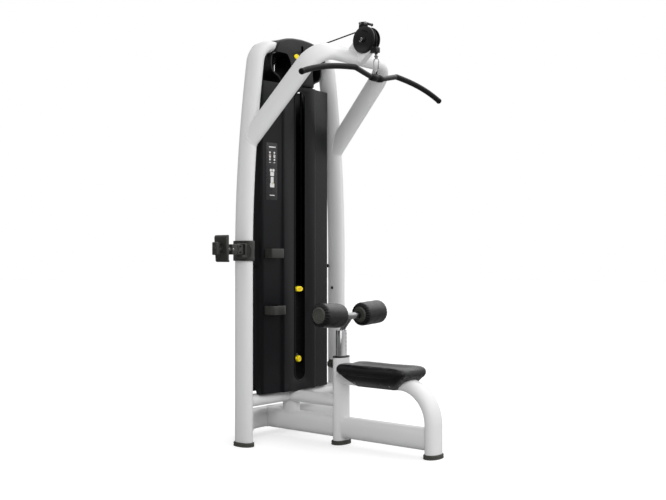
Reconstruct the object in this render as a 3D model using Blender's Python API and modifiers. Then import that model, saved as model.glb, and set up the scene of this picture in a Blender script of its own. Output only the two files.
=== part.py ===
"""Lat pulldown machine: a selectorised cable tower with a seat, thigh rollers and a wide bar.

Metres, +Z up. The origin is the centre of the seat post's foot, on the floor. +X is the machine's
width, -Y points away from the tower, to where the seat ends.
"""

import math

import bmesh
import bpy
from mathutils import Matrix, Vector

OBJECT_NAME = "lat_pulldown_machine"
GAP = 0.0003
AROUND = 20
EMPTY_SIZE = 0.05

# Floor plan
TOWER_Y = 0.352
STACK_Y = 0.390
REAR_BAR_Y = 0.548
FRONT_LEG_Y = -0.592
UPRIGHT_X = 0.382

# Oval frame tube, and the taller tube of the base
TUBE_WIDE = 0.055
TUBE_THIN = 0.0325
BASE_HALF_WIDTH = 0.040
BASE_HALF_HEIGHT = 0.0565
BASE_Z = 0.0905
OVAL_POWER = 2.3
FLAT_SIDED = 2.8
REAR_BAR_BEND = 0.20
REAR_BAR_FLAT = 0.075

# Cross bar under the tower, and the beam that ties it to the seat post
CROSS_BAR_X = 0.352
CROSS_BAR_Y = 0.382
CROSS_BAR_Z = 0.2275
LINK_HALF_HEIGHT = 0.0315
LINK_HALF_WIDTH = 0.048
JOINT_POST_Y = 0.362

# Uprights
FOOT_HEIGHT = 0.022
FOOT_LIP_LONG = 0.0075
FOOT_LIP_SHORT = 0.0085
BEND_START_Z = 1.0
BEND_RADIUS = 6.27
LEAN_DEGREES = 9.4
CROWN_RADIUS = 0.108
TIP_Z = 2.138
TIP_X = 0.160

# Overhead arch, in the plane that leans over the seat
ARCH_FOOT_X = 0.354
ARCH_START = 0.030
ARCH_THIN = 0.0312
ARCH_FOOT_Z = 1.600
ARCH_FOOT_Y = 0.363
ARCH_LEAN = math.radians(134.3)
ARCH_REACH = 0.640
ARCH_TAPER = math.radians(5.1)
ARCH_CORNER = 0.125

# Seat
SEAT_POST_TOP = 0.462
SEAT_TUBE_Z = 0.354
SEAT_BEND = 0.190
SEAT_TUBE_THIN = 0.035
POCKET_BOTTOM = 0.085
PAD_TOP = 0.437
PAD_BOTTOM = 0.390
SHELL_BOTTOM = 0.325
PAD_HALF_WIDTH = 0.122
PAD_REAR_Y = -0.040
PAD_FRONT_Y = -0.488
PAD_CORNER = 0.030
SHELL_RIM = (0.113, -0.054, -0.482)
SHELL_FLOOR = (0.064, -0.150, -0.405)
GASKET_HEIGHT = 0.008

# Thigh rollers
POP_PIN_Z = 0.422
THIGH_POST_WIDE = 0.035
THIGH_POST_THIN = 0.022
THIGH_POST_BOTTOM = 0.200
THIGH_POST_TOP = 0.606
GROOVE_TOP = 0.58
SETTING_COUNT = 5
SETTING_X = 0.017
SETTING_LOW = 0.50
SETTING_PITCH = 0.022
SETTING_RADIUS = 0.0045
NECK_RADIUS = 0.015
ROLLER_AXIS_Y = -0.062
ROLLER_AXIS_Z = 0.684
CROSS_RADIUS = 0.0165
AXLE_TUBE_RADIUS = 0.0125
ROLLER_TILT = math.radians(3.3)
ROLLER_INNER = 0.072
ROLLER_OUTER = 0.268
ROLLER_RADIUS = 0.066
ROLLER_CAP = 0.043
KNOB_RADIUS = 0.0225
PIN_TIP_Y = 0.0205

# Cable run
CABLE_RADIUS = 0.0036
FRONT_PULLEY = (-0.173, 2.134)
FRONT_GROOVE = 0.063
HEAD_PULLEY = (0.340, 2.075)
HEAD_GROOVE = 0.050
WHEEL_HALF = 0.009
AXLE_RADIUS = 0.006
COVER_RADIUS = 0.071
COVER_BACK = 0.0206
BRACKET_HALF = 0.020
COVER_HUB_LEFT = 0.042
COVER_HUB_RIGHT = 0.034
CHEEK_FACE = 0.023
BAR_Y = FRONT_PULLEY[0] - FRONT_GROOVE
GUIDE_LOW = 2.060
GUIDE_HIGH = 2.089
GUARD_BOLTS = ((-0.151, 2.222), (-0.186, 2.219))
SPAN_DROP = 0.004
FERRULE_TOP = 2.0585
HOOK_TOP = 2.034
HOOK_BOTTOM = 1.956
HOOK_WIRE = 0.0026

# Lat bar
BAR_RADIUS = 0.0145
SLEEVE_RADIUS = 0.0195
BAR_CENTRE_Z = 1.929
BAR_BEND = (0.176, 1.960)
BAR_END = (0.588, 1.878)
BAR_EYE = 0.0105

# Weight stack
ROD_X = 0.1135
ROD_RADIUS = 0.0095
PLATE_WIDTH = 0.300
PLATE_DEPTH = 0.100
PLATE_PITCH = 0.043
PLATE_COUNT = 9
STACK_BOTTOM = 0.4115
STEM_RADIUS = 0.011
PIN_RADIUS = 0.0045
PIN_CLEARANCE = 0.0006
GRIP_Y = 0.301
STACK_TOP = STACK_BOTTOM + (PLATE_COUNT + 1) * PLATE_PITCH
STEM_TOP = STACK_TOP + 0.040
ROD_BOTTOM = 0.2606
ROD_TOP = 2.130
CUSHION_BOTTOM = 0.2615

# Tower covers
SHROUD_BOTTOM = 0.2606
SHROUD_TOP = 1.946
SHROUD_WALL = 0.004
PANEL_HALF = 0.132
PANEL_Y = 0.297
FACET_Y = 0.309
SIDE_X = 0.2765
SIDE_Y = 0.326
SLOT_HALF = 0.040
SLOT_BOTTOM = 0.3175
SLOT_TOP = 1.915
NOTCH = (0.420, 0.256, 0.057)
UPPER_LEDGE_Z = (0.992, 1.042)
LOWER_LEDGE_Z = (0.687, 0.735)

# Head of the tower
HEAD_COVER_Y = (0.280, 0.497)
HEAD_COVER_WALL = 0.006
HEAD_BEAM_Y = (0.312, 0.440)
HEAD_BEAM_Z = (2.115, 2.165)
CHEEK_X = 0.019
CHEEK_THICKNESS = 0.008
CHEEK_LOW_Z = 2.045

# Device holder on the left upright
HOLDER_Z = 1.030
HOLDER_Y = TOWER_Y - 0.030
COLLAR_HALF = 0.053
ARM_HALF = 0.0145
ARM_LOW_Z = HOLDER_Z - 0.020
ARM_HIGH_Z = HOLDER_Z + 0.034
KNUCKLE_RADIUS = 0.0147
SWIVEL_X = -UPRIGHT_X - 0.060
CRADLE_X = -0.543
CRADLE_Z = HOLDER_Z + 0.008
CRADLE_DEPTH = 0.088
EAR_Y = 0.0165


def clear_scene():
    for obj in list(bpy.data.objects):
        bpy.data.objects.remove(obj, do_unlink=True)


def new_collection(name):
    made = bpy.data.collections.new(name)
    bpy.context.scene.collection.children.link(made)
    return made


def make_material(name, color, roughness, metallic=0.0):
    made = bpy.data.materials.new(name)
    made.use_nodes = True
    shader = made.node_tree.nodes["Principled BSDF"]
    shader.inputs["Base Color"].default_value = (*color, 1.0)
    shader.inputs["Roughness"].default_value = roughness
    shader.inputs["Metallic"].default_value = metallic
    made.diffuse_color = (*color, 1.0)
    return made


clear_scene()
PARTS = new_collection(OBJECT_NAME)
CUTTERS = new_collection("cutters")

WHITE_PAINT = make_material("white_paint", (0.78, 0.78, 0.78), 0.35)
CHARCOAL = make_material("charcoal_plastic", (0.035, 0.036, 0.040), 0.5)
BLACK_PLASTIC = make_material("black_plastic", (0.018, 0.018, 0.020), 0.45)
RUBBER = make_material("foot_rubber", (0.06, 0.06, 0.05), 0.8)
GRIP = make_material("grip_rubber", (0.015, 0.015, 0.017), 0.6)
UPHOLSTERY = make_material("upholstery", (0.015, 0.015, 0.018), 0.6)
STEEL = make_material("steel", (0.55, 0.55, 0.55), 0.3, 1.0)
CHROME = make_material("chrome", (0.75, 0.75, 0.76), 0.08, 1.0)
PLATE_PAINT = make_material("plate_paint", (0.02, 0.02, 0.02), 0.5)
YELLOW = make_material("yellow_plastic", (0.90, 0.72, 0.02), 0.35)
OLIVE = make_material("olive_plastic", (0.045, 0.045, 0.040), 0.55)


# Frames that place a flat path: its local x and y become these world directions.
def plane_xz(y):
    return Matrix.Translation((0, y, 0)) @ Matrix.Rotation(math.pi / 2, 4, "X")


def plane_yz(x):
    turn = Matrix(((0, 0, 1, 0), (1, 0, 0, 0), (0, 1, 0, 0), (0, 0, 0, 1)))
    return Matrix.Translation((x, 0, 0)) @ turn


def plane_xy(z):
    return Matrix.Translation((0, 0, z))


def plane_arch():
    foot = Matrix.Translation((0, ARCH_FOOT_Y, ARCH_FOOT_Z))
    return foot @ Matrix.Rotation(ARCH_LEAN, 4, "X")


def arc(centre, radius, start, end, steps):
    """Points on a circle from one angle to another, in degrees."""
    points = []
    for i in range(steps + 1):
        angle = math.radians(start + (end - start) * i / steps)
        points.append((centre[0] + radius * math.cos(angle), centre[1] + radius * math.sin(angle)))
    return points


def oval(half_x, half_y, power=OVAL_POWER, count=AROUND):
    """Points round a superellipse."""
    points = []
    for i in range(count):
        angle = 2 * math.pi * i / count
        c, s = math.cos(angle), math.sin(angle)
        x = half_x * math.copysign(abs(c) ** (2 / power), c)
        y = half_y * math.copysign(abs(s) ** (2 / power), s)
        points.append((x, y))
    return points


def poly_curve(name, points, closed=False):
    data = bpy.data.curves.new(name, "CURVE")
    spline = data.splines.new("POLY")
    spline.points.add(len(points) - 1)
    for point, place in zip(spline.points, points):
        x, y, z = (*place, 0.0)[:3]
        point.co = (x, y, z, 1.0)
    spline.use_cyclic_u = closed
    return data


def finish(obj, material, smooth=35):
    obj.data.materials.clear()
    obj.data.materials.append(material)
    obj.data.shade_smooth()
    obj.data.set_sharp_from_angle(angle=math.radians(smooth))
    PARTS.objects.link(obj)
    return obj


def hide_cutter(obj):
    obj.hide_render = True
    obj.display_type = "WIRE"
    CUTTERS.objects.link(obj)
    return obj


def mesh_of_curve(name, data, place, helpers=()):
    """The swept curve as one closed mesh, with its end caps welded on and flat faces whole."""
    curve = bpy.data.objects.new(name + "_path", data)
    bpy.context.scene.collection.objects.link(curve)
    curve.matrix_world = place
    bpy.context.view_layer.update()
    graph = bpy.context.evaluated_depsgraph_get()
    mesh = bpy.data.meshes.new_from_object(curve.evaluated_get(graph))
    work = bmesh.new()
    work.from_mesh(mesh)
    bmesh.ops.remove_doubles(work, verts=work.verts, dist=1e-5)
    bmesh.ops.dissolve_limit(work, angle_limit=0.002, verts=work.verts, edges=work.edges)
    bmesh.ops.recalc_face_normals(work, faces=work.faces)
    work.to_mesh(mesh)
    work.free()
    made = bpy.data.objects.new(name, mesh)
    made.matrix_world = curve.matrix_world
    for extra in (curve, *helpers):
        bpy.data.objects.remove(extra, do_unlink=True)
    return made


def swept(name, points, half_in, half_out, place, power=OVAL_POWER, count=AROUND):
    """A solid oval bar along a flat path: half_in lies in the path's plane, half_out across it."""
    outline_data = poly_curve(name + "_outline", oval(half_in, half_out, power, count), True)
    outline = bpy.data.objects.new(name + "_outline", outline_data)
    bpy.context.scene.collection.objects.link(outline)
    data = poly_curve(name, points)
    data.dimensions = "3D"
    data.twist_mode = "Z_UP"
    data.bevel_mode = "OBJECT"
    data.bevel_object = outline
    data.use_fill_caps = True
    return mesh_of_curve(name, data, place, (outline,))


def round_rod(name, points, radius, place=Matrix(), resolution=2):
    """A round bar along any path."""
    data = poly_curve(name, points)
    data.dimensions = "3D"
    data.bevel_depth = radius
    data.bevel_resolution = resolution
    data.use_fill_caps = True
    return mesh_of_curve(name, data, place)


def turned(name, profile, place, steps=AROUND):
    """A closed profile of (radius, height) turned about the local z axis."""
    mesh = bpy.data.meshes.new(name)
    work = bmesh.new()
    ring = [work.verts.new((r, 0, h)) for r, h in profile]
    for a, b in zip(ring, ring[1:]):
        work.edges.new((a, b))
    if profile[0][0] > 0:
        work.edges.new((ring[-1], ring[0]))
    work.to_mesh(mesh)
    work.free()
    made = bpy.data.objects.new(name, mesh)
    made.matrix_world = place
    screw = made.modifiers.new("turn", "SCREW")
    screw.steps = steps
    screw.render_steps = steps
    screw.use_merge_vertices = True
    screw.merge_threshold = 0.0001
    return made


def box(name, low, high, bevel=0.0, segments=2):
    low, high = Vector(low), Vector(high)
    size = high - low
    mesh = bpy.data.meshes.new(name)
    work = bmesh.new()
    bmesh.ops.create_cube(work, size=1.0)
    bmesh.ops.scale(work, vec=size, verts=work.verts)
    work.to_mesh(mesh)
    work.free()
    made = bpy.data.objects.new(name, mesh)
    made.location = (low + high) / 2
    if bevel:
        add_bevel(made, bevel, segments)
    return made


def cylinder(name, start, end, radius, count=AROUND):
    """A round bar from one point to another."""
    start, end = Vector(start), Vector(end)
    axis = end - start
    mesh = bpy.data.meshes.new(name)
    work = bmesh.new()
    bmesh.ops.create_cone(
        work, cap_ends=True, segments=count, radius1=radius, radius2=radius, depth=axis.length
    )
    work.to_mesh(mesh)
    work.free()
    made = bpy.data.objects.new(name, mesh)
    turn = axis.to_track_quat("Z", "Y").to_matrix().to_4x4()
    made.matrix_world = Matrix.Translation((start + end) / 2) @ turn
    return made


def plate(name, outline, thickness, place, bevel=0.0, segments=1):
    """A flat outline with a thickness, centred on its plane."""
    data = poly_curve(name, outline, True)
    data.dimensions = "2D"
    data.fill_mode = "BOTH"
    data.extrude = thickness / 2
    made = mesh_of_curve(name, data, place)
    if bevel:
        add_bevel(made, bevel, segments)
    return made


def on_joint(obj, x, y, z):
    """Gives a moving piece a parent empty on its joint's axis."""
    pivot = bpy.data.objects.new(obj.name + "_joint", None)
    pivot.location = (x, y, z)
    pivot.empty_display_size = EMPTY_SIZE
    PARTS.objects.link(pivot)
    bpy.context.view_layer.update()
    obj.parent = pivot
    obj.matrix_parent_inverse = pivot.matrix_world.inverted()
    return obj


def add_bevel(obj, width, segments=2):
    bevel = obj.modifiers.new("edges", "BEVEL")
    bevel.width = width
    bevel.segments = segments
    bevel.limit_method = "ANGLE"
    bevel.angle_limit = math.radians(40)
    bevel.harden_normals = False


def join_by(obj, other, operation):
    boolean = obj.modifiers.new(operation.lower(), "BOOLEAN")
    boolean.operation = operation
    boolean.solver = "EXACT"
    boolean.object = other


def cut(obj, *others):
    for other in others:
        if other.name not in CUTTERS.objects:
            hide_cutter(other)
        join_by(obj, other, "DIFFERENCE")
    return obj


def unite(obj, *others):
    for other in others:
        if other.name not in CUTTERS.objects:
            hide_cutter(other)
        join_by(obj, other, "UNION")
    return obj


def around_x(y, z, x=0.0):
    """A turning axis along +X through this point."""
    return Matrix.Translation((x, y, z)) @ Matrix.Rotation(math.pi / 2, 4, "Y")


def upright_path(side):
    """Straight from the foot, a slow lean inwards, then a tight bend over to the head."""
    bottom = FOOT_HEIGHT + GAP
    centre_x = UPRIGHT_X - BEND_RADIUS
    angle = math.radians(LEAN_DEGREES)
    slow = arc((centre_x, BEND_START_Z), BEND_RADIUS, 0, LEAN_DEGREES, 6)
    middle = (slow[-1][0] - CROWN_RADIUS * math.cos(angle), TIP_Z - CROWN_RADIUS)
    crown = arc(middle, CROWN_RADIUS, LEAN_DEGREES, 90, 8)
    points = [(UPRIGHT_X, bottom), *slow[:-1], *crown, (TIP_X, TIP_Z)]
    return [(side * x, z) for x, z in points]


def arch_path():
    """Two legs that taper in towards a straight crown with round corners."""
    sin, cos = math.sin(ARCH_TAPER), math.cos(ARCH_TAPER)
    top = ARCH_REACH
    turn = 90 - math.degrees(ARCH_TAPER)
    centre_y = top - ARCH_CORNER
    lean_x = ARCH_FOOT_X - (centre_y + ARCH_CORNER * sin) * sin / cos
    centre_x = lean_x - ARCH_CORNER * cos
    right = [(ARCH_FOOT_X - ARCH_START * sin / cos, ARCH_START)]
    right += arc((centre_x, centre_y), ARCH_CORNER, 90 - turn, 90, 8)
    left = [(-x, y) for x, y in reversed(right)]
    return right + left


def rear_bar_path():
    """Back from each upright, then a bend to the straight run at the rear."""
    right = [(UPRIGHT_X, TOWER_Y - 0.006)]
    right += arc((REAR_BAR_FLAT, REAR_BAR_Y - REAR_BAR_BEND), REAR_BAR_BEND, 54, 90, 4)
    left = [(-x, y) for x, y in reversed(right)]
    return right + left


def seat_tube_path():
    """Forward from the post, then a quarter turn down to the front foot."""
    centre = (FRONT_LEG_Y + SEAT_BEND, SEAT_TUBE_Z - SEAT_BEND)
    points = [(0.0, SEAT_TUBE_Z)]
    points += arc(centre, SEAT_BEND, 90, 180, 10)
    points.append((FRONT_LEG_Y, FOOT_HEIGHT + GAP))
    return points


TUBES = {
    "left_upright": (upright_path(-1), TUBE_THIN, TUBE_WIDE, plane_xz(TOWER_Y), OVAL_POWER),
    "right_upright": (upright_path(1), TUBE_THIN, TUBE_WIDE, plane_xz(TOWER_Y), OVAL_POWER),
    "seat_post": (
        [(0, FOOT_HEIGHT + GAP), (0, SEAT_POST_TOP)], TUBE_WIDE, TUBE_THIN, plane_xz(0), OVAL_POWER
    ),
    "seat_tube": (seat_tube_path(), SEAT_TUBE_THIN, TUBE_WIDE, plane_yz(0), OVAL_POWER),
    "rear_base_bar": (
        rear_bar_path(), BASE_HALF_WIDTH, BASE_HALF_HEIGHT, plane_xy(BASE_Z), FLAT_SIDED
    ),
    "main_beam_rear": (
        [(REAR_BAR_Y, BASE_Z), (0, BASE_Z)], BASE_HALF_HEIGHT, BASE_HALF_WIDTH, plane_yz(0), FLAT_SIDED
    ),
    "main_beam_front": (
        [(0, BASE_Z), (FRONT_LEG_Y, BASE_Z)], BASE_HALF_HEIGHT, BASE_HALF_WIDTH, plane_yz(0), FLAT_SIDED
    ),
    "tower_cross_bar": (
        [(-CROSS_BAR_X, CROSS_BAR_Z), (CROSS_BAR_X, CROSS_BAR_Z)],
        TUBE_THIN, 0.045, plane_xz(CROSS_BAR_Y), OVAL_POWER,
    ),
    "link_beam": (
        [(CROSS_BAR_Y, 0.227), (0, 0.227)], LINK_HALF_HEIGHT, LINK_HALF_WIDTH, plane_yz(0), OVAL_POWER
    ),
    "joint_post": (
        [(JOINT_POST_Y, BASE_Z), (JOINT_POST_Y, CROSS_BAR_Z)], TUBE_WIDE, TUBE_THIN, plane_yz(0), OVAL_POWER
    ),
    "overhead_arch": (arch_path(), ARCH_THIN, TUBE_WIDE, plane_arch(), OVAL_POWER),
}


def tube(name):
    path, half_in, half_out, place, power = TUBES[name]
    return swept(name, path, half_in, half_out, place, power)


CLEARANCES = {}


def clearance(name):
    """The same tube, larger all round by the gap, to cut its neighbours with."""
    if name not in CLEARANCES:
        path, half_in, half_out, place, power = TUBES[name]
        grown = swept(name + "_clearance", path, half_in + GAP, half_out + GAP, place, power)
        CLEARANCES[name] = hide_cutter(grown)
    return CLEARANCES[name]


def build_frame():
    finish(tube("left_upright"), WHITE_PAINT)
    finish(tube("right_upright"), WHITE_PAINT)
    post = tube("seat_post")
    room = 0.003
    pocket = swept(
        "post_pocket", [(0, POCKET_BOTTOM), (0, 0.5)],
        THIGH_POST_WIDE + room, THIGH_POST_THIN + room, plane_xz(0),
    )
    pin_hole = cylinder("pin_hole", (0, 0.015, POP_PIN_Z), (0, 0.06, POP_PIN_Z), 0.0065, 16)
    finish(cut(post, pocket, pin_hole), WHITE_PAINT)
    seat = tube("seat_tube")
    finish(cut(seat, clearance("seat_post")), WHITE_PAINT)
    rear = tube("rear_base_bar")
    finish(cut(rear, clearance("left_upright"), clearance("right_upright")), WHITE_PAINT)
    beam = tube("main_beam_rear")
    finish(cut(beam, clearance("seat_post"), clearance("rear_base_bar")), WHITE_PAINT)
    beam = tube("main_beam_front")
    finish(cut(beam, clearance("seat_post"), clearance("seat_tube")), WHITE_PAINT)
    bar = tube("tower_cross_bar")
    finish(cut(bar, clearance("left_upright"), clearance("right_upright")), WHITE_PAINT)
    link = tube("link_beam")
    finish(cut(link, clearance("tower_cross_bar"), clearance("seat_post")), WHITE_PAINT)
    joint = tube("joint_post")
    around = (clearance("main_beam_rear"), clearance("link_beam"), clearance("tower_cross_bar"))
    finish(cut(joint, *around), WHITE_PAINT)
    arch = tube("overhead_arch")
    finish(cut(arch, clearance("left_upright"), clearance("right_upright")), WHITE_PAINT)


def build_foot(name, x, y, half_x, half_y):
    points = [(0, 0.0), (0, FOOT_HEIGHT)]
    place = Matrix.Translation((x, y, 0)) @ plane_xz(0)
    foot = swept(name, points, half_x, half_y, place)
    add_bevel(foot, 0.004, 1)
    finish(foot, RUBBER)


def build_feet():
    long, short = TUBE_WIDE + FOOT_LIP_LONG, TUBE_THIN + FOOT_LIP_SHORT
    build_foot("foot_left", -UPRIGHT_X, TOWER_Y, short, long)
    build_foot("foot_right", UPRIGHT_X, TOWER_Y, short, long)
    build_foot("foot_middle", 0, 0, long, short)
    build_foot("foot_front", 0, FRONT_LEG_Y, long, short)


def bracket_outline():
    """Side view of the bracket: two parallel edges from the arch, and a round end behind the cover."""
    y, z = FRONT_PULLEY
    round_end = arc(FRONT_PULLEY, 0.047, 49.5, 185, 7)
    foot = [(y - 0.0455, z - 0.0532), (y + 0.0305, z - 0.1182)]
    foot += [(y + 0.065, z - 0.100), (y + 0.130, z - 0.050)]
    return round_end + foot


def build_bracket():
    bracket = plate("pulley_bracket", bracket_outline(), 2 * BRACKET_HALF, plane_yz(0), 0.003)
    half = WHEEL_HALF + 2 * GAP
    start, end = (-half, *FRONT_PULLEY), (half, *FRONT_PULLEY)
    wheel_room = cylinder("wheel_room", start, end, FRONT_GROOVE + 0.012)
    axle_hole = cylinder("axle_hole", (-0.05, *FRONT_PULLEY), (0.05, *FRONT_PULLEY), AXLE_RADIUS + GAP)
    finish(cut(bracket, clearance("overhead_arch"), wheel_room, axle_hole), WHITE_PAINT)


def wheel_profile(groove, half):
    """A hub, a thin web, and a rim with a groove that the cable lies in."""
    bore = AXLE_RADIUS + GAP
    floor = groove - CABLE_RADIUS - GAP
    web = half - 0.003
    return [
        (bore, half), (0.016, half), (0.018, web), (floor - 0.008, web), (floor + 0.005, half),
        (floor, 0.0025), (floor, -0.0025), (floor + 0.005, -half), (floor - 0.008, -web),
        (0.018, -web), (0.016, -half), (bore, -half),
    ]


def build_wheels():
    front = wheel_profile(FRONT_GROOVE, WHEEL_HALF)
    finish(turned("front_pulley", front, around_x(*FRONT_PULLEY)), BLACK_PLASTIC)
    head = wheel_profile(HEAD_GROOVE, WHEEL_HALF)
    finish(turned("head_pulley", head, around_x(*HEAD_PULLEY)), BLACK_PLASTIC)


def bolt_profile(low, high, head, lift):
    """A bolt from -low to high, with a round head of this radius at each end."""
    return [
        (0, high + lift), (head, high + lift), (head, high + GAP), (AXLE_RADIUS, high + GAP),
        (AXLE_RADIUS, -low - GAP), (head, -low - GAP), (head, -low - lift), (0, -low - lift),
    ]


def build_axles():
    bolt = bolt_profile(COVER_HUB_LEFT, COVER_HUB_RIGHT, 0.0095, 0.006)
    finish(turned("front_axle", bolt, around_x(*FRONT_PULLEY), 12), STEEL)
    bar = bolt_profile(CHEEK_FACE, CHEEK_FACE, 0.010, 0.006)
    finish(turned("head_axle", bar, around_x(*HEAD_PULLEY), 12), STEEL)


def cover_profile(depth, hub):
    """A shallow dome with a raised hub, from the bore outwards over the top to the flat back."""
    bore = AXLE_RADIUS + GAP
    return [
        (bore, hub), (0.014, hub), (0.019, hub - 0.004), (0.056, hub - 0.006), (COVER_RADIUS - 0.004, depth),
        (COVER_RADIUS, depth - 0.005), (COVER_RADIUS, COVER_BACK), (bore, COVER_BACK),
    ]


def add_guard_bolt(cover, index, y, z):
    """A bolt over the rim that keeps the cable in, on an ear of the left cover."""
    back = -COVER_BACK
    ear = cylinder(f"guard_ear_{index}", (-0.027, y, z), (back, y, z), 0.011, 12)
    foot_y = (y + FRONT_PULLEY[0]) / 2
    foot_z = (z + FRONT_PULLEY[1]) / 2 + 0.018
    low, high = (-0.026, foot_y - 0.010, foot_z), (back - 2 * GAP, foot_y + 0.010, z)
    neck = box(f"guard_neck_{index}", low, high)
    rod = cylinder(f"guard_rod_{index}", (-0.035, y, z), (0.031, y, z), 0.0065, 10)
    unite(cover, ear, neck, rod)


def build_left_cover():
    flip = Matrix.Rotation(math.pi, 4, "X")
    profile = cover_profile(0.033, COVER_HUB_LEFT)
    left = turned("pulley_cover_left", profile, around_x(*FRONT_PULLEY) @ flip)
    low, high = (-0.022, BAR_Y - 0.016, GUIDE_LOW), (0.013, BAR_Y + 0.022, GUIDE_HIGH)
    guide = box("cable_guide_block", low, high, 0.003, 1)
    low, high = (-0.027, BAR_Y + 0.004, GUIDE_LOW + 0.012), (-COVER_BACK, BAR_Y + 0.040, GUIDE_HIGH + 0.02)
    unite(left, box("guide_web", low, high), guide)
    for index, (y, z) in enumerate(GUARD_BOLTS):
        add_guard_bolt(left, index, y, z)
    way = cylinder("cable_way", (0, BAR_Y, 2.0), (0, BAR_Y, 2.2), 0.0045, 10)
    start, end = (-BRACKET_HALF, *FRONT_PULLEY), (BRACKET_HALF, *FRONT_PULLEY)
    clear = cylinder("guide_wheel_room", start, end, COVER_RADIUS + 0.0015, 32)
    finish(cut(left, way, clear), BLACK_PLASTIC)


def build_pulley_covers():
    right = turned("pulley_cover_right", cover_profile(0.029, COVER_HUB_RIGHT), around_x(*FRONT_PULLEY))
    finish(right, BLACK_PLASTIC)
    build_left_cover()


def run_slope():
    """How steeply the straight cable between the two wheels rises."""
    dy = FRONT_PULLEY[0] - HEAD_PULLEY[0]
    dz = FRONT_PULLEY[1] - HEAD_PULLEY[1]
    return math.atan2(dz, -dy) + math.asin((FRONT_GROOVE - HEAD_GROOVE) / math.hypot(dy, dz))


def cable_path():
    """Down from the stack side, over the head wheel, across, and over the front wheel."""
    slope = math.degrees(run_slope())
    head = arc(HEAD_PULLEY, HEAD_GROOVE, 0, 90 - slope, 8)
    front = arc(FRONT_PULLEY, FRONT_GROOVE, 90 - slope, 180, 10)
    start, end = (STACK_Y, HEAD_PULLEY[1] - SPAN_DROP), (BAR_Y, FRONT_PULLEY[1] - SPAN_DROP)
    return [start, *head, *front, end]


def build_cables():
    span = round_rod("cable_span", cable_path(), CABLE_RADIUS, plane_yz(0), 1)
    finish(span, GRIP, 60)
    runs = (
        ("cable_stack", STACK_Y, STEM_TOP + GAP, HEAD_PULLEY[1] - SPAN_DROP - GAP),
        ("cable_drop", BAR_Y, FERRULE_TOP + GAP, FRONT_PULLEY[1] - SPAN_DROP - GAP),
    )
    for name, y, low, high in runs:
        run = cylinder(name, (0, y, low), (0, y, high), CABLE_RADIUS, 8)
        on_joint(finish(run, GRIP, 60), 0, y, low)


def build_hook():
    ferrule = [(0, FERRULE_TOP), (0.0065, FERRULE_TOP), (0.0085, FERRULE_TOP - 0.004)]
    ferrule += [(0.0085, HOOK_TOP + 0.012), (0.0115, HOOK_TOP + 0.009), (0.0115, HOOK_TOP + 0.0045)]
    ferrule += [(0.006, HOOK_TOP + GAP), (0, HOOK_TOP + GAP)]
    place = Matrix.Translation((0, BAR_Y, 0))
    on_joint(finish(turned("cable_ferrule", ferrule, place, 16), STEEL), 0, BAR_Y, FERRULE_TOP)
    wire = HOOK_WIRE
    half = 0.0165
    top, bottom = HOOK_TOP - wire, HOOK_BOTTOM + wire
    loop = arc((0, top - half), half, 90, 0, 5) + arc((0, bottom + 0.011), 0.011, 0, -180, 7)
    loop += arc((0, top - half), half, 180, 90, 5)
    points = [(BAR_Y + y, z) for y, z in loop]
    data = poly_curve("snap_hook", points[:-1], True)
    data.dimensions = "3D"
    data.bevel_depth = wire
    data.bevel_resolution = 1
    on_joint(finish(mesh_of_curve("snap_hook", data, plane_yz(0)), STEEL), 0, BAR_Y, HOOK_TOP)


def bar_height(x):
    """The grips droop towards their ends."""
    start_x, start_z = BAR_BEND
    end_x, end_z = BAR_END
    along = (x - start_x) / (end_x - start_x)
    return start_z - (start_z - end_z) * (0.42 * along + 0.58 * along ** 2.6)


def bar_path():
    half = [(0.0, BAR_CENTRE_Z), (0.030, BAR_CENTRE_Z), (0.062, BAR_CENTRE_Z + 0.0045)]
    half += [(0.150, BAR_BEND[1] - 0.006), BAR_BEND]
    steps = 7
    for i in range(1, steps + 1):
        x = BAR_BEND[0] + (BAR_END[0] - BAR_BEND[0]) * i / steps
        half.append((x, bar_height(x)))
    left = [(-x, z) for x, z in reversed(half[1:])]
    return left + half


def build_bar():
    bar = round_rod("lat_bar", bar_path(), BAR_RADIUS, plane_xz(BAR_Y), 2)
    sleeve = [(0.0, 0.047), (0.0155, 0.047), (SLEEVE_RADIUS, 0.030), (SLEEVE_RADIUS, -0.030)]
    sleeve += [(0.0155, -0.047), (0.0, -0.047)]
    body = turned("bar_sleeve", sleeve, around_x(BAR_Y, BAR_CENTRE_Z), 16)
    seat_z = HOOK_BOTTOM + HOOK_WIRE
    centre = (0, BAR_Y, seat_z + 2 * HOOK_WIRE + GAP - BAR_EYE)
    data = poly_curve("bar_eye", arc((0, 0), BAR_EYE, 0, 360, 16)[:-1], True)
    data.dimensions = "3D"
    data.bevel_depth = HOOK_WIRE
    data.bevel_resolution = 1
    upright = Matrix.Translation(centre) @ Matrix.Rotation(math.pi / 2, 4, "X")
    eye = mesh_of_curve("bar_eye", data, upright)
    on_joint(finish(unite(bar, body, eye), GRIP), 0, BAR_Y, seat_z)


def shroud_outline(front):
    """Plan view of half a shroud: centre panel, a step down to the facet, then the side wall."""
    split = STACK_Y + 0.010
    half = [(0.0, PANEL_Y), (PANEL_HALF - 0.006, PANEL_Y), (PANEL_HALF, PANEL_Y + 0.003)]
    half += [(PANEL_HALF + 0.005, FACET_Y - 0.002), (PANEL_HALF + 0.014, FACET_Y + 0.003)]
    half += [(SIDE_X - 0.012, SIDE_Y - 0.003), (SIDE_X, SIDE_Y + 0.009), (SIDE_X, split - GAP)]
    if not front:
        mirror = 2 * STACK_Y
        half = [(x, mirror - y) for x, y in half[:-1]] + [(SIDE_X, split + GAP)]
    return half


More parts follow.
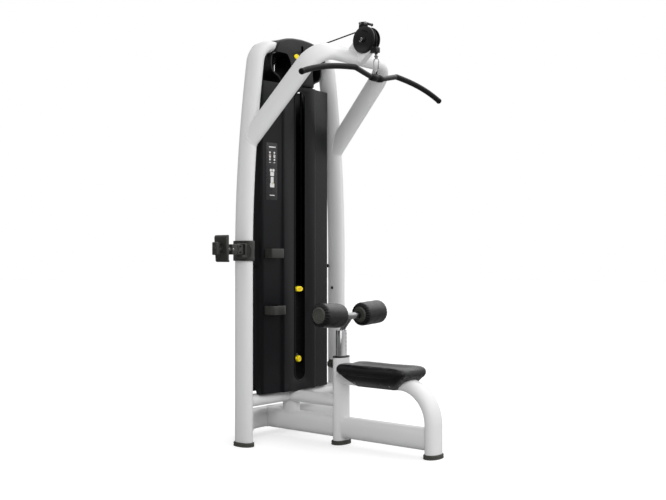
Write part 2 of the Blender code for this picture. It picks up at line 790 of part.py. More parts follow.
def build_shroud(name, front):
    half = shroud_outline(front)
    outline = [(-x, y) for x, y in reversed(half[1:])] + half
    mesh = bpy.data.meshes.new(name)
    work = bmesh.new()
    lower = [work.verts.new((x, y, SHROUD_BOTTOM)) for x, y in outline]
    upper = [work.verts.new((x, y, SHROUD_TOP)) for x, y in outline]
    for i in range(len(outline) - 1):
        work.faces.new((lower[i], lower[i + 1], upper[i + 1], upper[i]))
    work.to_mesh(mesh)
    work.free()
    shroud = bpy.data.objects.new(name, mesh)
    wall = shroud.modifiers.new("wall", "SOLIDIFY")
    wall.thickness = SHROUD_WALL
    wall.offset = -1.0 if front else 1.0
    wall.use_even_offset = True
    return shroud


def slot_cutter():
    top = arc((0, SLOT_TOP - SLOT_HALF), SLOT_HALF, 0, 180, 11)
    bottom = arc((0, SLOT_BOTTOM + SLOT_HALF), SLOT_HALF, 180, 360, 11)
    return plate("slot_cutter", top + bottom, 0.06, plane_xz(PANEL_Y))


def notch_cutters():
    """Curved corners that clear the cross bar at the bottom of each side wall."""
    centre_y, centre_z, radius = NOTCH
    made = []
    for side, name in ((-1, "notch_left"), (1, "notch_right")):
        x = side * SIDE_X
        start, end = (x - 0.02, centre_y, centre_z), (x + 0.02, centre_y, centre_z)
        made.append(cylinder(name, start, end, radius, 32))
    return made


def build_shrouds():
    notches = notch_cutters()
    finish(cut(build_shroud("front_shroud", True), slot_cutter(), *notches), CHARCOAL)
    finish(cut(build_shroud("rear_shroud", False), *notches), CHARCOAL)


def mirrored(right):
    """A closed outline from its right half, whose first and last points are on the centre line."""
    return right + [(-x, z) for x, z in reversed(right[1:-1])]


def head_outline():
    """Front view of the head cover: a low dome with rounded lower corners."""
    return mirrored([
        (0.0, 2.204), (0.070, 2.200), (0.130, 2.190), (0.175, 2.178), (0.196, 2.150), (0.206, 2.100),
        (0.212, 2.060), (0.206, 2.022), (0.184, 1.996), (0.150, 1.984), (0.136, 1.966), (0.132, 1.9475),
        (0.0, 1.9475),
    ])


def head_hollow_outline():
    return mirrored([
        (0.0, 2.193), (0.065, 2.190), (0.125, 2.180), (0.168, 2.166), (0.187, 2.140), (0.198, 2.100),
        (0.204, 2.060), (0.198, 2.026), (0.180, 2.003), (0.132, 1.99), (0.1250, 1.966), (0.1250, 1.93),
        (0.0, 1.93),
    ])


def head_side_cutters(side, name):
    """The open window in front, and the socket that the upright's tip comes in through."""
    window = [(0.230, 2.108), (0.125, 2.108), (0.100, 2.075), (0.088, 2.040), (0.092, 2.000)]
    window += [(0.105, 1.94), (0.260, 1.94), (0.260, 2.06)]
    outline = [(side * x, z) for x, z in window]
    socket = [(side * 0.10, TIP_Z), (side * 0.30, TIP_Z)]
    return [
        plate("window_" + name, outline, 0.08, plane_xz(HEAD_COVER_Y[0])),
        swept("socket_" + name, socket, TUBE_THIN + 0.001, TUBE_WIDE + 0.001, plane_xz(TOWER_Y)),
        clearance(name + "_upright"),
    ]


def build_head_cover():
    front, rear = HEAD_COVER_Y
    middle = (front + rear) / 2
    cover = plate("head_cover", head_outline(), rear - front, plane_xz(middle), 0.010, 2)
    depth = rear - front - 2 * HEAD_COVER_WALL
    cutters = [plate("head_hollow", head_hollow_outline(), depth, plane_xz(middle))]
    for side, name in ((-1, "left"), (1, "right")):
        cutters += head_side_cutters(side, name)
    cutters.append(box("cable_slot", (-0.012, front - 0.03, 2.105), (0.012, front + 0.04, 2.165)))
    finish(cut(cover, *cutters), BLACK_PLASTIC)


def build_head_beam():
    """Steel beam between the upright tips; it carries the head wheel and the guide rods."""
    tip = TIP_X - GAP
    (front, rear), (low, high) = HEAD_BEAM_Y, HEAD_BEAM_Z
    beam = box("head_beam", (-tip, front, low), (tip, rear, high), 0.004, 1)
    cheek = [(front, low + 0.002), (rear, low + 0.002), (0.372, CHEEK_LOW_Z), (front, CHEEK_LOW_Z)]
    for side, name in ((-1, "cheek_left"), (1, "cheek_right")):
        unite(beam, plate(name, cheek, CHEEK_THICKNESS, plane_yz(side * CHEEK_X)))
    room = box("head_wheel_room", (-0.0105, 0.25, 2.0), (0.0105, 0.46, 2.2))
    start, end = (-0.05, *HEAD_PULLEY), (0.05, *HEAD_PULLEY)
    cut(beam, room, cylinder("head_bolt_hole", start, end, AXLE_RADIUS + GAP, 16))
    unite(beam, box("bridge", (-0.03, rear - 0.015, low + 0.004), (0.03, rear - 0.002, high - 0.004)))
    for side, name in ((-1, "rod_seat_left"), (1, "rod_seat_right")):
        start, end = (side * ROD_X, STACK_Y, 2.0), (side * ROD_X, STACK_Y, ROD_TOP + GAP)
        cut(beam, cylinder(name, start, end, ROD_RADIUS + GAP, 16))
    finish(beam, PLATE_PAINT)


def build_rods():
    for side, name in ((-1, "guide_rod_left"), (1, "guide_rod_right")):
        start, end = (side * ROD_X, STACK_Y, ROD_BOTTOM), (side * ROD_X, STACK_Y, ROD_TOP)
        finish(cylinder(name, start, end, ROD_RADIUS, 16), CHROME)


def rod_holes(name, low, high, clear):
    """Cutters for the two guide rods' holes."""
    made = []
    for side, end in ((-1, "_left"), (1, "_right")):
        x = side * ROD_X
        hole = cylinder(name + end, (x, STACK_Y, low), (x, STACK_Y, high), ROD_RADIUS + clear, 10)
        made.append(hide_cutter(hole))
    return made


def build_cushion():
    """Rubber block that the stack lands on, on the cross bar."""
    half_x, half_y = 0.135, 0.022
    low = (-half_x, STACK_Y - half_y, CUSHION_BOTTOM)
    high = (half_x, STACK_Y + half_y, STACK_BOTTOM - GAP)
    cushion = box("stack_cushion", low, high, 0.006, 1)
    stem_room = cylinder("stem_room", (0, STACK_Y, 0.27), (0, STACK_Y, 0.5), STEM_RADIUS + 0.002, 16)
    finish(cut(cushion, *rod_holes("cushion_hole", 0.2, 0.5, 0.0008), stem_room), RUBBER)


def plate_block(name, low, rods, stem):
    half_x, half_y = PLATE_WIDTH / 2, PLATE_DEPTH / 2
    block = box(
        name, (-half_x, STACK_Y - half_y, low), (half_x, STACK_Y + half_y, low + PLATE_PITCH - GAP)
    )
    middle = low + PLATE_PITCH / 2
    front = STACK_Y - half_y
    pin_hole = cylinder(
        name + "_pin_hole", (0, front - 0.02, middle), (0, STACK_Y, middle), PIN_RADIUS + PIN_CLEARANCE, 8
    )
    return finish(cut(block, *rods, stem, pin_hole), PLATE_PAINT)


def build_stack():
    rods = rod_holes("plate_rod_hole", 0.3, 1.0, 0.0015)
    stem_hole = cylinder("plate_stem_hole", (0, STACK_Y, 0.3), (0, STACK_Y, 1.0), STEM_RADIUS + 0.001, 12)
    hide_cutter(stem_hole)
    for index in range(PLATE_COUNT):
        plate_block(f"weight_plate_{index + 1:02d}", STACK_BOTTOM + index * PLATE_PITCH, rods, stem_hole)
    low = STACK_BOTTOM + PLATE_COUNT * PLATE_PITCH
    on_joint(plate_block("top_plate", low, rods, stem_hole), 0, STACK_Y, low)


def build_stem():
    """The rod that hangs through the stack, with a hole at every plate and a fork for the cable."""
    low, seat = STACK_BOTTOM - 0.020, STACK_TOP + GAP
    profile = [(0, STEM_TOP), (0.007, STEM_TOP), (0.009, STEM_TOP - 0.004), (0.009, STACK_TOP + 0.016)]
    profile += [(0.017, STACK_TOP + 0.014), (0.017, seat), (STEM_RADIUS, seat), (STEM_RADIUS, low + 0.003)]
    profile += [(STEM_RADIUS - 0.003, low), (0, low)]
    stem = turned("selector_stem", profile, Matrix.Translation((0, STACK_Y, 0)), 12)
    holes = []
    for index in range(PLATE_COUNT + 1):
        z = STACK_BOTTOM + (index + 0.5) * PLATE_PITCH
        start, end = (0, STACK_Y - 0.03, z), (0, STACK_Y + 0.03, z)
        holes.append(cylinder(f"stem_hole_{index}", start, end, PIN_RADIUS + 0.0011, 6))
    on_joint(finish(cut(stem, *holes), STEEL), 0, STACK_Y, low)


def build_pin(name, z, tip_y, grip_x, grip_z):
    """A round pin with an oval grip that stands just proud of the slot."""
    pin = cylinder(name, (0, GRIP_Y + 0.004, z), (0, tip_y, z), PIN_RADIUS, 8)
    place = Matrix.Translation((0, 0, z)) @ plane_xz(GRIP_Y)
    grip = plate(name + "_grip", oval(grip_x, grip_z, 2.1, 16), 0.022, place, 0.004)
    on_joint(finish(unite(pin, grip), YELLOW), 0, GRIP_Y, z)


def build_pins():
    upper = STACK_BOTTOM + (PLATE_COUNT + 0.5) * PLATE_PITCH
    build_pin("selector_pin", upper, STACK_Y + 0.006, 0.030, 0.015)
    lower = STACK_BOTTOM + 0.5 * PLATE_PITCH
    build_pin("increment_pin", lower, STACK_Y - STEM_RADIUS - 0.004, 0.0175, 0.0175)


def build_ledge(name, outline, low, high):
    """A moulded tray on the left facet, flat on top, cut to lie against the shroud."""
    ledge = plate(name, outline, high - low, plane_xy((low + high) / 2), 0.006, 2)
    room = hide_cutter(build_shroud(name + "_room", True))
    room.modifiers["wall"].thickness = 0.06
    room.modifiers["wall"].offset = -1.0
    room.location.y = -GAP
    finish(cut(ledge, room), OLIVE)


def build_ledges():
    upper = [(-0.256, 0.34), (-0.256, 0.270), (-0.250, 0.262), (-0.168, 0.262), (-0.160, 0.270)]
    upper += [(-0.160, 0.34)]
    build_ledge("upper_ledge", upper, *UPPER_LEDGE_Z)
    lower = [(-0.258, 0.34), (-0.258, 0.285), (-0.245, 0.262), (-0.200, 0.250), (-0.162, 0.256)]
    lower += [(-0.150, 0.275), (-0.150, 0.34)]
    build_ledge("lower_ledge", lower, *LOWER_LEDGE_Z)


def pad_outline():
    """Plan of the seat pad: straight sides, round corners."""
    corner = PAD_CORNER
    x = PAD_HALF_WIDTH - corner
    front, rear = PAD_FRONT_Y + corner, PAD_REAR_Y - corner
    points = arc((x, rear), corner, 0, 90, 4) + arc((-x, rear), corner, 90, 180, 4)
    return points + arc((-x, front), corner, 180, 270, 4) + arc((x, front), corner, 270, 360, 4)


def build_seat_pad():
    middle = (PAD_TOP + PAD_BOTTOM) / 2
    pad = plate("seat_pad", pad_outline(), PAD_TOP - PAD_BOTTOM - GAP, plane_xy(middle), 0.018, 3)
    finish(pad, UPHOLSTERY)


def build_seat_shell():
    """A tub that tapers down from the pad and straddles the seat tube."""
    mesh = bpy.data.meshes.new("seat_shell")
    work = bmesh.new()

    def ring(x, rear, front, z):
        return [work.verts.new(p) for p in ((x, rear, z), (-x, rear, z), (-x, front, z), (x, front, z))]

    top, bottom = ring(*SHELL_RIM, PAD_BOTTOM - GAP), ring(*SHELL_FLOOR, SHELL_BOTTOM)
    work.faces.new(top)
    work.faces.new(reversed(bottom))
    for i in range(4):
        j = (i + 1) % 4
        work.faces.new((top[j], top[i], bottom[i], bottom[j]))
    bmesh.ops.recalc_face_normals(work, faces=work.faces)
    work.to_mesh(mesh)
    work.free()
    shell = bpy.data.objects.new("seat_shell", mesh)
    add_bevel(shell, 0.008, 2)
    finish(cut(shell, clearance("seat_tube"), clearance("seat_post")), BLACK_PLASTIC)


def build_thigh_post():
    ends = [(0, THIGH_POST_BOTTOM), (0, THIGH_POST_TOP)]
    post = swept("thigh_post", ends, THIGH_POST_WIDE, THIGH_POST_THIN, plane_xz(0))
    cut(post, box("pin_groove", (-0.006, THIGH_POST_THIN - 0.004, 0.1), (0.006, 0.05, GROOVE_TOP)))
    for index in range(SETTING_COUNT):
        z = SETTING_LOW + SETTING_PITCH * index
        start, end = (SETTING_X, -0.05, z), (SETTING_X, -0.010, z)
        cut(post, cylinder(f"setting_hole_{index}", start, end, SETTING_RADIUS, 10))
    neck_path = [(0.002, THIGH_POST_TOP - 0.03), (0.0, THIGH_POST_TOP + 0.004)]
    neck_path += [(-0.010, 0.634), (-0.027, 0.655), (-0.046, 0.671), (ROLLER_AXIS_Y, ROLLER_AXIS_Z - 0.004)]
    neck = round_rod("gooseneck", neck_path, NECK_RADIUS, plane_yz(0), 2)
    place = plane_xz(ROLLER_AXIS_Y)
    axles = round_rod("axle_tube", cross_path(ROLLER_OUTER - 0.008), AXLE_TUBE_RADIUS, place, 2)
    cross = round_rod("cross_tube", cross_path(ROLLER_INNER - 0.006), CROSS_RADIUS, place, 2)
    on_joint(finish(unite(post, neck, axles, cross), CHROME), 0, 0, THIGH_POST_BOTTOM)


def cross_path(reach):
    """A shallow V: level at the gooseneck, rising to each side."""
    rise = math.tan(ROLLER_TILT)
    right = [(0.0, ROLLER_AXIS_Z), (0.02, ROLLER_AXIS_Z + rise * 0.02), (reach, ROLLER_AXIS_Z + rise * reach)]
    return [(-x, z) for x, z in reversed(right[1:])] + right


def build_roller(name, side):
    """Foam roller with a sunk end cap at each end, on its own tilted axis."""
    low, high = ROLLER_INNER, ROLLER_OUTER
    bore, cap, r = AXLE_TUBE_RADIUS + GAP, ROLLER_CAP, ROLLER_RADIUS
    profile = [
        (bore, high - 0.002), (cap, high - 0.006), (r - 0.010, high - 0.006), (r, high - 0.028),
        (r, low + 0.028), (r - 0.010, low + 0.006), (cap, low + 0.010), (bore, low + 0.006),
    ]
    turn = Matrix.Rotation(side * (math.pi / 2 - ROLLER_TILT), 4, "Y")
    place = Matrix.Translation((0, ROLLER_AXIS_Y, ROLLER_AXIS_Z)) @ turn
    finish(turned(name, profile, place), UPHOLSTERY)


def build_gasket():
    low, high = SEAT_POST_TOP + GAP, SEAT_POST_TOP + GASKET_HEIGHT
    gasket = swept("post_gasket", [(0, low), (0, high)], TUBE_WIDE - 0.001, TUBE_THIN - 0.001, plane_xz(0))
    wide, thin = THIGH_POST_WIDE + 2 * GAP, THIGH_POST_THIN + 2 * GAP
    hole = swept("gasket_hole", [(0, 0.4), (0, 0.6)], wide, thin, plane_xz(0))
    finish(cut(gasket, hole), BLACK_PLASTIC)


def build_pop_pin():
    """Spring pin behind the seat post: a faceted knob, a collar, and a tip in the post's groove."""
    start = TUBE_THIN + 2 * GAP
    end, grip, collar, shank = start + 0.052, KNOB_RADIUS, 0.011, 0.0055
    profile = [(0, end), (0.018, end), (grip, start + 0.047), (grip, start + 0.022)]
    profile += [(0.018, start + 0.016), (collar, start + 0.014), (collar, start), (shank, start)]
    profile += [(shank, PIN_TIP_Y), (0, PIN_TIP_Y)]
    place = Matrix.Translation((0, 0, POP_PIN_Z)) @ Matrix.Rotation(-math.pi / 2, 4, "X")
    finish(turned("pop_pin", profile, place, 12), OLIVE)


def build_holder():
    """Clamp collar on the left upright, a short swivel arm, and a tilting cradle."""
    x, y = -UPRIGHT_X, HOLDER_Y
    low, high = HOLDER_Z - COLLAR_HALF, HOLDER_Z + COLLAR_HALF
    place = Matrix.Translation((x, TOWER_Y, 0)) @ plane_xz(0)
    collar = swept("holder_collar", [(0, low), (0, high)], TUBE_THIN + 0.010, TUBE_WIDE + 0.008, place)
    boss_low, boss_high = (x - 0.068, y - 0.024, low + 0.014), (x - 0.02, y + 0.024, high - 0.014)
    unite(collar, box("holder_boss", boss_low, boss_high, 0.010, 2))
    room_low, room_high = (x - 0.10, y - 0.04, ARM_LOW_Z - 0.001), (x - 0.0435, y + 0.04, ARM_HIGH_Z + 0.001)
    swivel_room = box("swivel_room", room_low, room_high)
    finish(cut(collar, clearance("left_upright"), swivel_room), OLIVE)


def build_arm():
    """Flat at the swivel, a fork's width at the cradle, with a round lug that the ears hold."""
    y, low, high = HOLDER_Y, ARM_LOW_Z, ARM_HIGH_Z
    arm = box("holder_arm", (CRADLE_X + 0.030, y - ARM_HALF, low), (SWIVEL_X, y + ARM_HALF, high))
    knuckle = cylinder("arm_knuckle", (SWIVEL_X, y, low), (SWIVEL_X, y, high), KNUCKLE_RADIUS, 16)
    web_low = (CRADLE_X, y - 0.011, CRADLE_Z - 0.010)
    web_high = (CRADLE_X + 0.040, y + 0.011, CRADLE_Z + 0.008)
    lug_start, lug_end = (CRADLE_X, y - 0.0115, CRADLE_Z), (CRADLE_X, y + 0.0115, CRADLE_Z)
    unite(arm, knuckle, box("arm_web", web_low, web_high), cylinder("arm_lug", lug_start, lug_end, 0.014, 16))
    on_joint(finish(arm, OLIVE), SWIVEL_X, y, HOLDER_Z)


def build_cradle():
    """The back plate leans on two ears; a clamp block stands on its far side."""
    x, y, z = CRADLE_X, HOLDER_Y, CRADLE_Z
    back = [(-0.020, -0.062), (-0.030, -0.064), (-0.036, 0.0), (-0.040, 0.062), (-0.034, 0.072)]
    back += [(-0.018, 0.074), (-0.018, 0.0)]
    ear = [(-0.024, -0.020), (0.008, -0.012), (0.014, 0.0), (0.008, 0.012), (-0.024, 0.020)]
    place = Matrix.Translation((x, y, z)) @ plane_xz(0)
    cradle = plate("holder_cradle", back, CRADLE_DEPTH, place, 0.003)
    for name, side in (("ear_front", -1), ("ear_rear", 1)):
        unite(cradle, plate(name, ear, 0.009, Matrix.Translation((0, side * EAR_Y, 0)) @ place))
    stalk = cylinder("clamp_stalk", (x - 0.025, y, z), (x - 0.060, y, z), 0.016, 16)
    low, high = (x - 0.082, y - 0.017, z - 0.030), (x - 0.050, y + 0.017, z + 0.036)
    unite(cradle, stalk, box("clamp_block", low, high, 0.006, 1))
    on_joint(finish(cradle, OLIVE), x, y, z)


def build_all():
    build_frame()
    build_feet()
    build_bracket()
    build_wheels()
    build_axles()
    build_pulley_covers()
    build_cables()
    build_hook()
    build_bar()
    build_shrouds()
    build_head_cover()
    build_head_beam()
    build_rods()
    build_cushion()
    build_stack()
    build_stem()
    build_pins()
    build_ledges()
    build_seat_pad()
    build_seat_shell()
    build_thigh_post()
    build_roller("roller_left", -1)
    build_roller("roller_right", 1)
    build_gasket()
    build_pop_pin()
    build_holder()
    build_arm()
    build_cradle()


build_all()
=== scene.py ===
import math
import random

import bmesh
import bpy
import numpy as np
from mathutils import Matrix, Vector


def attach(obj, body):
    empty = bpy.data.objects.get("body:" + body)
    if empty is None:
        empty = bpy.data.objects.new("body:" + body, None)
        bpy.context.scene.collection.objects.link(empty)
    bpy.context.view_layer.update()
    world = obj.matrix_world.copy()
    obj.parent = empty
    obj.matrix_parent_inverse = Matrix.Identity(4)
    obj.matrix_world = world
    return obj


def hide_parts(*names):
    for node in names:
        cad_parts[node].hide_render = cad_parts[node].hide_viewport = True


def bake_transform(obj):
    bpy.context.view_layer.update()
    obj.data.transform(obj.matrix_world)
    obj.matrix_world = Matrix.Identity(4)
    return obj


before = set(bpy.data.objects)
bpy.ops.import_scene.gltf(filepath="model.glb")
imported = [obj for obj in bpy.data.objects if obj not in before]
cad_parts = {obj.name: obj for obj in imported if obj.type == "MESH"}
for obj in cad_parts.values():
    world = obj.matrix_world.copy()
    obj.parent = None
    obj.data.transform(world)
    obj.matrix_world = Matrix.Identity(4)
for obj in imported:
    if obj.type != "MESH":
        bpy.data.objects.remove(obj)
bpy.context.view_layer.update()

RANDOM = random.Random(7)
FRAME_POWER = 2.3
BASE_POWER = 2.8

# Frame
TOWER_Y, STACK_Y, REAR_BAR_Y, FRONT_LEG_Y = 0.352, 0.390, 0.548, -0.592
UPRIGHT_X = 0.382
TUBE_WIDE, TUBE_THIN, SEAT_TUBE_THIN = 0.055, 0.0325, 0.035
BASE_HALF_WIDTH, BASE_HALF_HEIGHT, BASE_Z = 0.040, 0.0565, 0.0905
LINK_Z, LINK_HALF_HEIGHT, LINK_HALF_WIDTH, JOINT_POST_Y = 0.227, 0.0315, 0.048, 0.362
FOOT_HEIGHT = 0.022
TUBE_LOW = FOOT_HEIGHT + 0.0003
BEND_START_Z, BEND_RADIUS, CROWN_RADIUS = 1.0, 6.27, 0.108
TIP_X, TIP_Z = 0.160, 2.138
ARCH_FOOT = (0.354, 0.363, 1.600)
ARCH_LEAN, ARCH_TAPER = math.radians(134.3), math.radians(5.1)
ARCH_START, ARCH_REACH, ARCH_CORNER, ARCH_THIN = 0.030, 0.640, 0.125, 0.0312
CROSS_BAR_Y, CROSS_BAR_Z, CROSS_BAR_HALF = 0.382, 0.2275, 0.045

# Seat and rollers
SEAT_POST_TOP, SEAT_TUBE_Z, SEAT_BEND = 0.462, 0.354, 0.190
PAD_TOP, PAD_BOTTOM, SHELL_BOTTOM = 0.4365, 0.3800, 0.325
PAD_HALF_WIDTH, PAD_REAR_Y, PAD_FRONT_Y = 0.122, -0.040, -0.488
POST_WIDE, POST_THIN, POST_BOTTOM, POST_TOP = 0.035, 0.022, 0.200, 0.606
BORE_WIDE, BORE_THIN = POST_WIDE + 0.003, POST_THIN + 0.003
PAD_CORNER = 0.034
AXIS_Y, AXIS_Z, TILT = -0.062, 0.684, math.radians(3.3)
ROLLER_INNER, ROLLER_OUTER, ROLLER_RADIUS = 0.072, 0.268, 0.066
POP_PIN_Z = 0.422

# Cable run and bar
CABLE_RADIUS = 0.0036
FRONT_PULLEY, FRONT_GROOVE = (-0.173, 2.134), 0.063
HEAD_PULLEY, HEAD_GROOVE = (0.340, 2.075), 0.050
COVER_RADIUS, COVER_BACK = 0.071, 0.0206
GUARD_BOLTS = ((-0.151, 2.222), (-0.186, 2.219))
BAR_Y = FRONT_PULLEY[0] - FRONT_GROOVE
DROP_TOP, RISE_TOP = FRONT_PULLEY[1] - 0.004, HEAD_PULLEY[1] - 0.004
FERRULE_TOP, HOOK_TOP, HOOK_BOTTOM = 2.0585, 2.034, 1.956
HOOK_WIRE, EYE_RADIUS = 0.0026, 0.0105
BAR_CENTRE_Z, BAR_BEND, BAR_END = 1.929, (0.176, 1.960), (0.588, 1.878)

# Tower
SHROUD_LOW, SHROUD_HIGH, WALL = 0.2606, 1.946, 0.004
SHROUD_FACE_Y, SIDE_X = 0.297, 0.2765
FACET_X, FACET_Y, FACET_RUN, FACET_RISE = 0.146, 0.312, 0.1185, 0.011
SLOT_HALF, SLOT_LOW, SLOT_HIGH = 0.040, 0.3175, 1.915
STACK_LOW, PITCH, PLATES = 0.4115, 0.043, 9
HEAD_FRONT, HEAD_REAR = 0.280, 0.497
STEM_TOP = STACK_LOW + (PLATES + 1) * PITCH + 0.036
ROD_LOW, ROD_HIGH = 0.2606, 2.130
GRIP_Y = 0.301


# ---------------------------------------------------------------- materials
def node(tree, kind, **settings):
    made = tree.nodes.new("ShaderNode" + kind)
    for key, value in settings.items():
        if key in made.inputs:
            made.inputs[key].default_value = value
        else:
            setattr(made, key, value)
    return made


def noise_of(tree, coords, scale, detail=4.0, rough=0.55, stretch=None):
    source = coords
    if stretch:
        mapping = node(tree, "Mapping")
        mapping.inputs["Scale"].default_value = stretch
        tree.links.new(coords, mapping.inputs["Vector"])
        source = mapping.outputs["Vector"]
    made = node(tree, "TexNoise", Scale=scale, Detail=detail, Roughness=rough)
    tree.links.new(source, made.inputs["Vector"])
    return made.outputs["Fac"]


def ranged(tree, value, low, high, from_low=0.3, from_high=0.7):
    made = node(tree, "MapRange")
    for key, number in (("From Min", from_low), ("From Max", from_high), ("To Min", low), ("To Max", high)):
        made.inputs[key].default_value = number
    tree.links.new(value, made.inputs["Value"])
    return made.outputs["Result"]


def relief(tree, coords, bumps, stretch):
    """A chain of bumps, each (kind, scale, depth in metres). Returns the last normal, or None."""
    last = None
    for kind, scale, depth in bumps:
        if kind == "noise":
            height = noise_of(tree, coords, scale, 3.0, 0.5, stretch)
        elif kind == "cells":
            cells = node(tree, "TexVoronoi", feature="DISTANCE_TO_EDGE", Scale=scale)
            tree.links.new(coords, cells.inputs["Vector"])
            height = ranged(tree, cells.outputs["Distance"], 0, 1, 0.0, 0.25)
        else:
            bands = node(tree, "TexWave", Scale=scale, Distortion=0.4, bands_direction=kind)
            tree.links.new(coords, bands.inputs["Vector"])
            height = bands.outputs["Fac"]
        bump = node(tree, "Bump", Distance=depth, Strength=1.0)
        tree.links.new(height, bump.inputs["Height"])
        if last:
            tree.links.new(last, bump.inputs["Normal"])
        last = bump.outputs["Normal"]
    return last


def scuffed(tree, coords, shade, wear_and_painted_shade):
    """The colour with paler rubbed marks over it."""
    worn = 0.3 + 0.4 * wear_and_painted_shade
    scuff = node(tree, "MixRGB", Color2=(worn, worn, worn, 1))
    marks = noise_of(tree, coords, 38.0, 9.0, 0.75, (1.0, 1.0, 0.25))
    tree.links.new(ranged(tree, marks, 0, 0.16 * wear_and_painted_shade, 0.62, 0.72), scuff.inputs["Fac"])
    tree.links.new(shade, scuff.inputs["Color1"])
    return scuff.outputs["Color"]


def look(name, color, rough, metallic=0.0, vary=0.10, patch=5.0, rough_vary=0.07, bumps=(), coat=0.0,
         stretch=None, specular=0.5, wear_and_painted_shade=0.0):
    """A Principled surface whose colour, roughness and relief all vary."""
    made = bpy.data.materials.new(name)
    made.use_nodes = True
    tree = made.node_tree
    shader = tree.nodes["Principled BSDF"]
    coords = node(tree, "TexCoord").outputs["Object"]
    cloud = noise_of(tree, coords, patch)
    fine = noise_of(tree, coords, 90.0, 6.0, 0.6, stretch)
    darker, lighter = [c * (1 - vary) for c in color], [min(1, c * (1 + vary)) for c in color]
    tint = node(tree, "MixRGB", Color1=(*darker, 1), Color2=(*lighter, 1))
    tree.links.new(ranged(tree, cloud, 0, 1), tint.inputs["Fac"])
    shade = tint.outputs["Color"]
    if wear_and_painted_shade:
        shade = scuffed(tree, coords, shade, wear_and_painted_shade)
    tree.links.new(shade, shader.inputs["Base Color"])
    tree.links.new(ranged(tree, fine, rough - rough_vary, rough + rough_vary), shader.inputs["Roughness"])
    for key, value in (("Metallic", metallic), ("Specular IOR Level", specular), ("Coat Weight", coat),
                       ("Coat Roughness", 0.12)):
        shader.inputs[key].default_value = value
    normal = relief(tree, coords, bumps, stretch)
    if normal:
        tree.links.new(normal, shader.inputs["Normal"])
    return made


GRAIN = ("noise", 900.0, 0.00003)
WHITE = look("powder_coat", (0.72, 0.72, 0.722), 0.33, vary=0.012, patch=3.0, rough_vary=0.02, coat=0.12,
             specular=0.42,
             bumps=(("noise", 420.0, 0.000025), ("noise", 60.0, 0.00006)), wear_and_painted_shade=0.1)
CHARCOAL = look("charcoal_moulding", (0.0042, 0.0044, 0.0056), 0.38, specular=0.24, vary=0.12, patch=4.0,
                bumps=(GRAIN, ("cells", 700.0, 0.00002)))
BLACK = look("black_moulding", (0.0055, 0.0055, 0.006), 0.32, specular=0.42, vary=0.15, bumps=(GRAIN,))
DARK_INNER = look("unlit_inside", (0.004, 0.004, 0.0045), 0.7, specular=0.1, vary=0.2, bumps=(GRAIN,))
OLIVE = look("olive_moulding", (0.028, 0.028, 0.0245), 0.34, specular=0.5, vary=0.10,
             bumps=(GRAIN, ("cells", 500.0, 0.00003)))
RUBBER = look("foot_rubber", (0.050, 0.050, 0.043), 0.75, vary=0.18, bumps=(("noise", 300.0, 0.0003), GRAIN))
CUSHION = look("buffer_rubber", (0.014, 0.014, 0.014), 0.8, vary=0.2, bumps=(("noise", 250.0, 0.0003),))
VINYL = look("vinyl", (0.0042, 0.0042, 0.0054), 0.33, vary=0.12, patch=7.0, specular=0.42,
             bumps=(("cells", 520.0, 0.00005), ("noise", 45.0, 0.0003)))
GRIP = look("grip_rubber", (0.005, 0.005, 0.006), 0.46, specular=0.16, vary=0.15,
            bumps=(("cells", 600.0, 0.00008), GRAIN))
CABLE = look("cable_jacket", (0.007, 0.007, 0.007), 0.55, specular=0.15, vary=0.15,
             bumps=(("DIAGONAL", 260.0, 0.0002),))
STEEL = look("zinc_steel", (0.52, 0.52, 0.51), 0.30, metallic=1.0, vary=0.08, rough_vary=0.10,
             stretch=(1, 1, 0.1),
             bumps=(("noise", 500.0, 0.00006),))
CHROME = look("chrome", (0.60, 0.60, 0.61), 0.09, metallic=1.0, vary=0.03, rough_vary=0.04,
              bumps=(("noise", 14.0, 0.00012),))
DARK_CHROME = look("dark_chrome", (0.26, 0.26, 0.265), 0.14, metallic=1.0, vary=0.05, rough_vary=0.05,
                   bumps=(("noise", 14.0, 0.00012),))
IRON = look("painted_iron", (0.008, 0.008, 0.008), 0.55, specular=0.2, vary=0.25, patch=12.0,
            bumps=(("noise", 220.0, 0.0003),), wear_and_painted_shade=0.15)
# Guide rod steel darkened as painted shade, for the length that stands inside the shroud.
ROD_STEEL_PAINTED_SHADE = look("rod_steel_painted_shade", (0.035, 0.035, 0.036), 0.30, metallic=1.0, vary=0.15, rough_vary=0.10,
                 stretch=(1, 1, 0.1))
AMBER = look("amber_inlay", (0.80, 0.50, 0.012), 0.35, vary=0.05, bumps=(("noise", 300.0, 0.00012),))
YELLOW = look("yellow_knob", (1.0, 0.79, 0.008), 0.34, vary=0.04, specular=0.25,
              bumps=(("noise", 300.0, 0.00012),))
FILM = look("printed_film", (0.020, 0.020, 0.022), 0.30, vary=0.05, bumps=(("noise", 700.0, 0.00003),))
PRINT_WHITE = look("print_white", (0.70, 0.70, 0.68), 0.35, vary=0.04, bumps=(GRAIN,))
PRINT_RED = look("print_red", (0.50, 0.05, 0.04), 0.35, vary=0.05, bumps=(GRAIN,))


# ---------------------------------------------------------------- building blocks
def place(obj, body="root", *stands_for):
    """Hands a finished piece to its body and hides the plain solids that it stands for."""
    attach(obj, body)
    if stands_for:
        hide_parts(*stands_for)


def smoothed(obj, angle=40):
    """Smooth shading, broken at edges sharper than the angle."""
    obj.data.shade_smooth()
    obj.data.set_sharp_from_angle(angle=math.radians(angle))
    return obj


def facing(origin, axis):
    """The frame at origin whose Z points along the axis."""
    return Matrix.Translation(origin) @ Vector(axis).to_track_quat("Z", "X").to_matrix().to_4x4()


def hexagon(size):
    return [(size * math.cos(a), size * math.sin(a)) for a in (math.pi * k / 3 for k in range(6))]


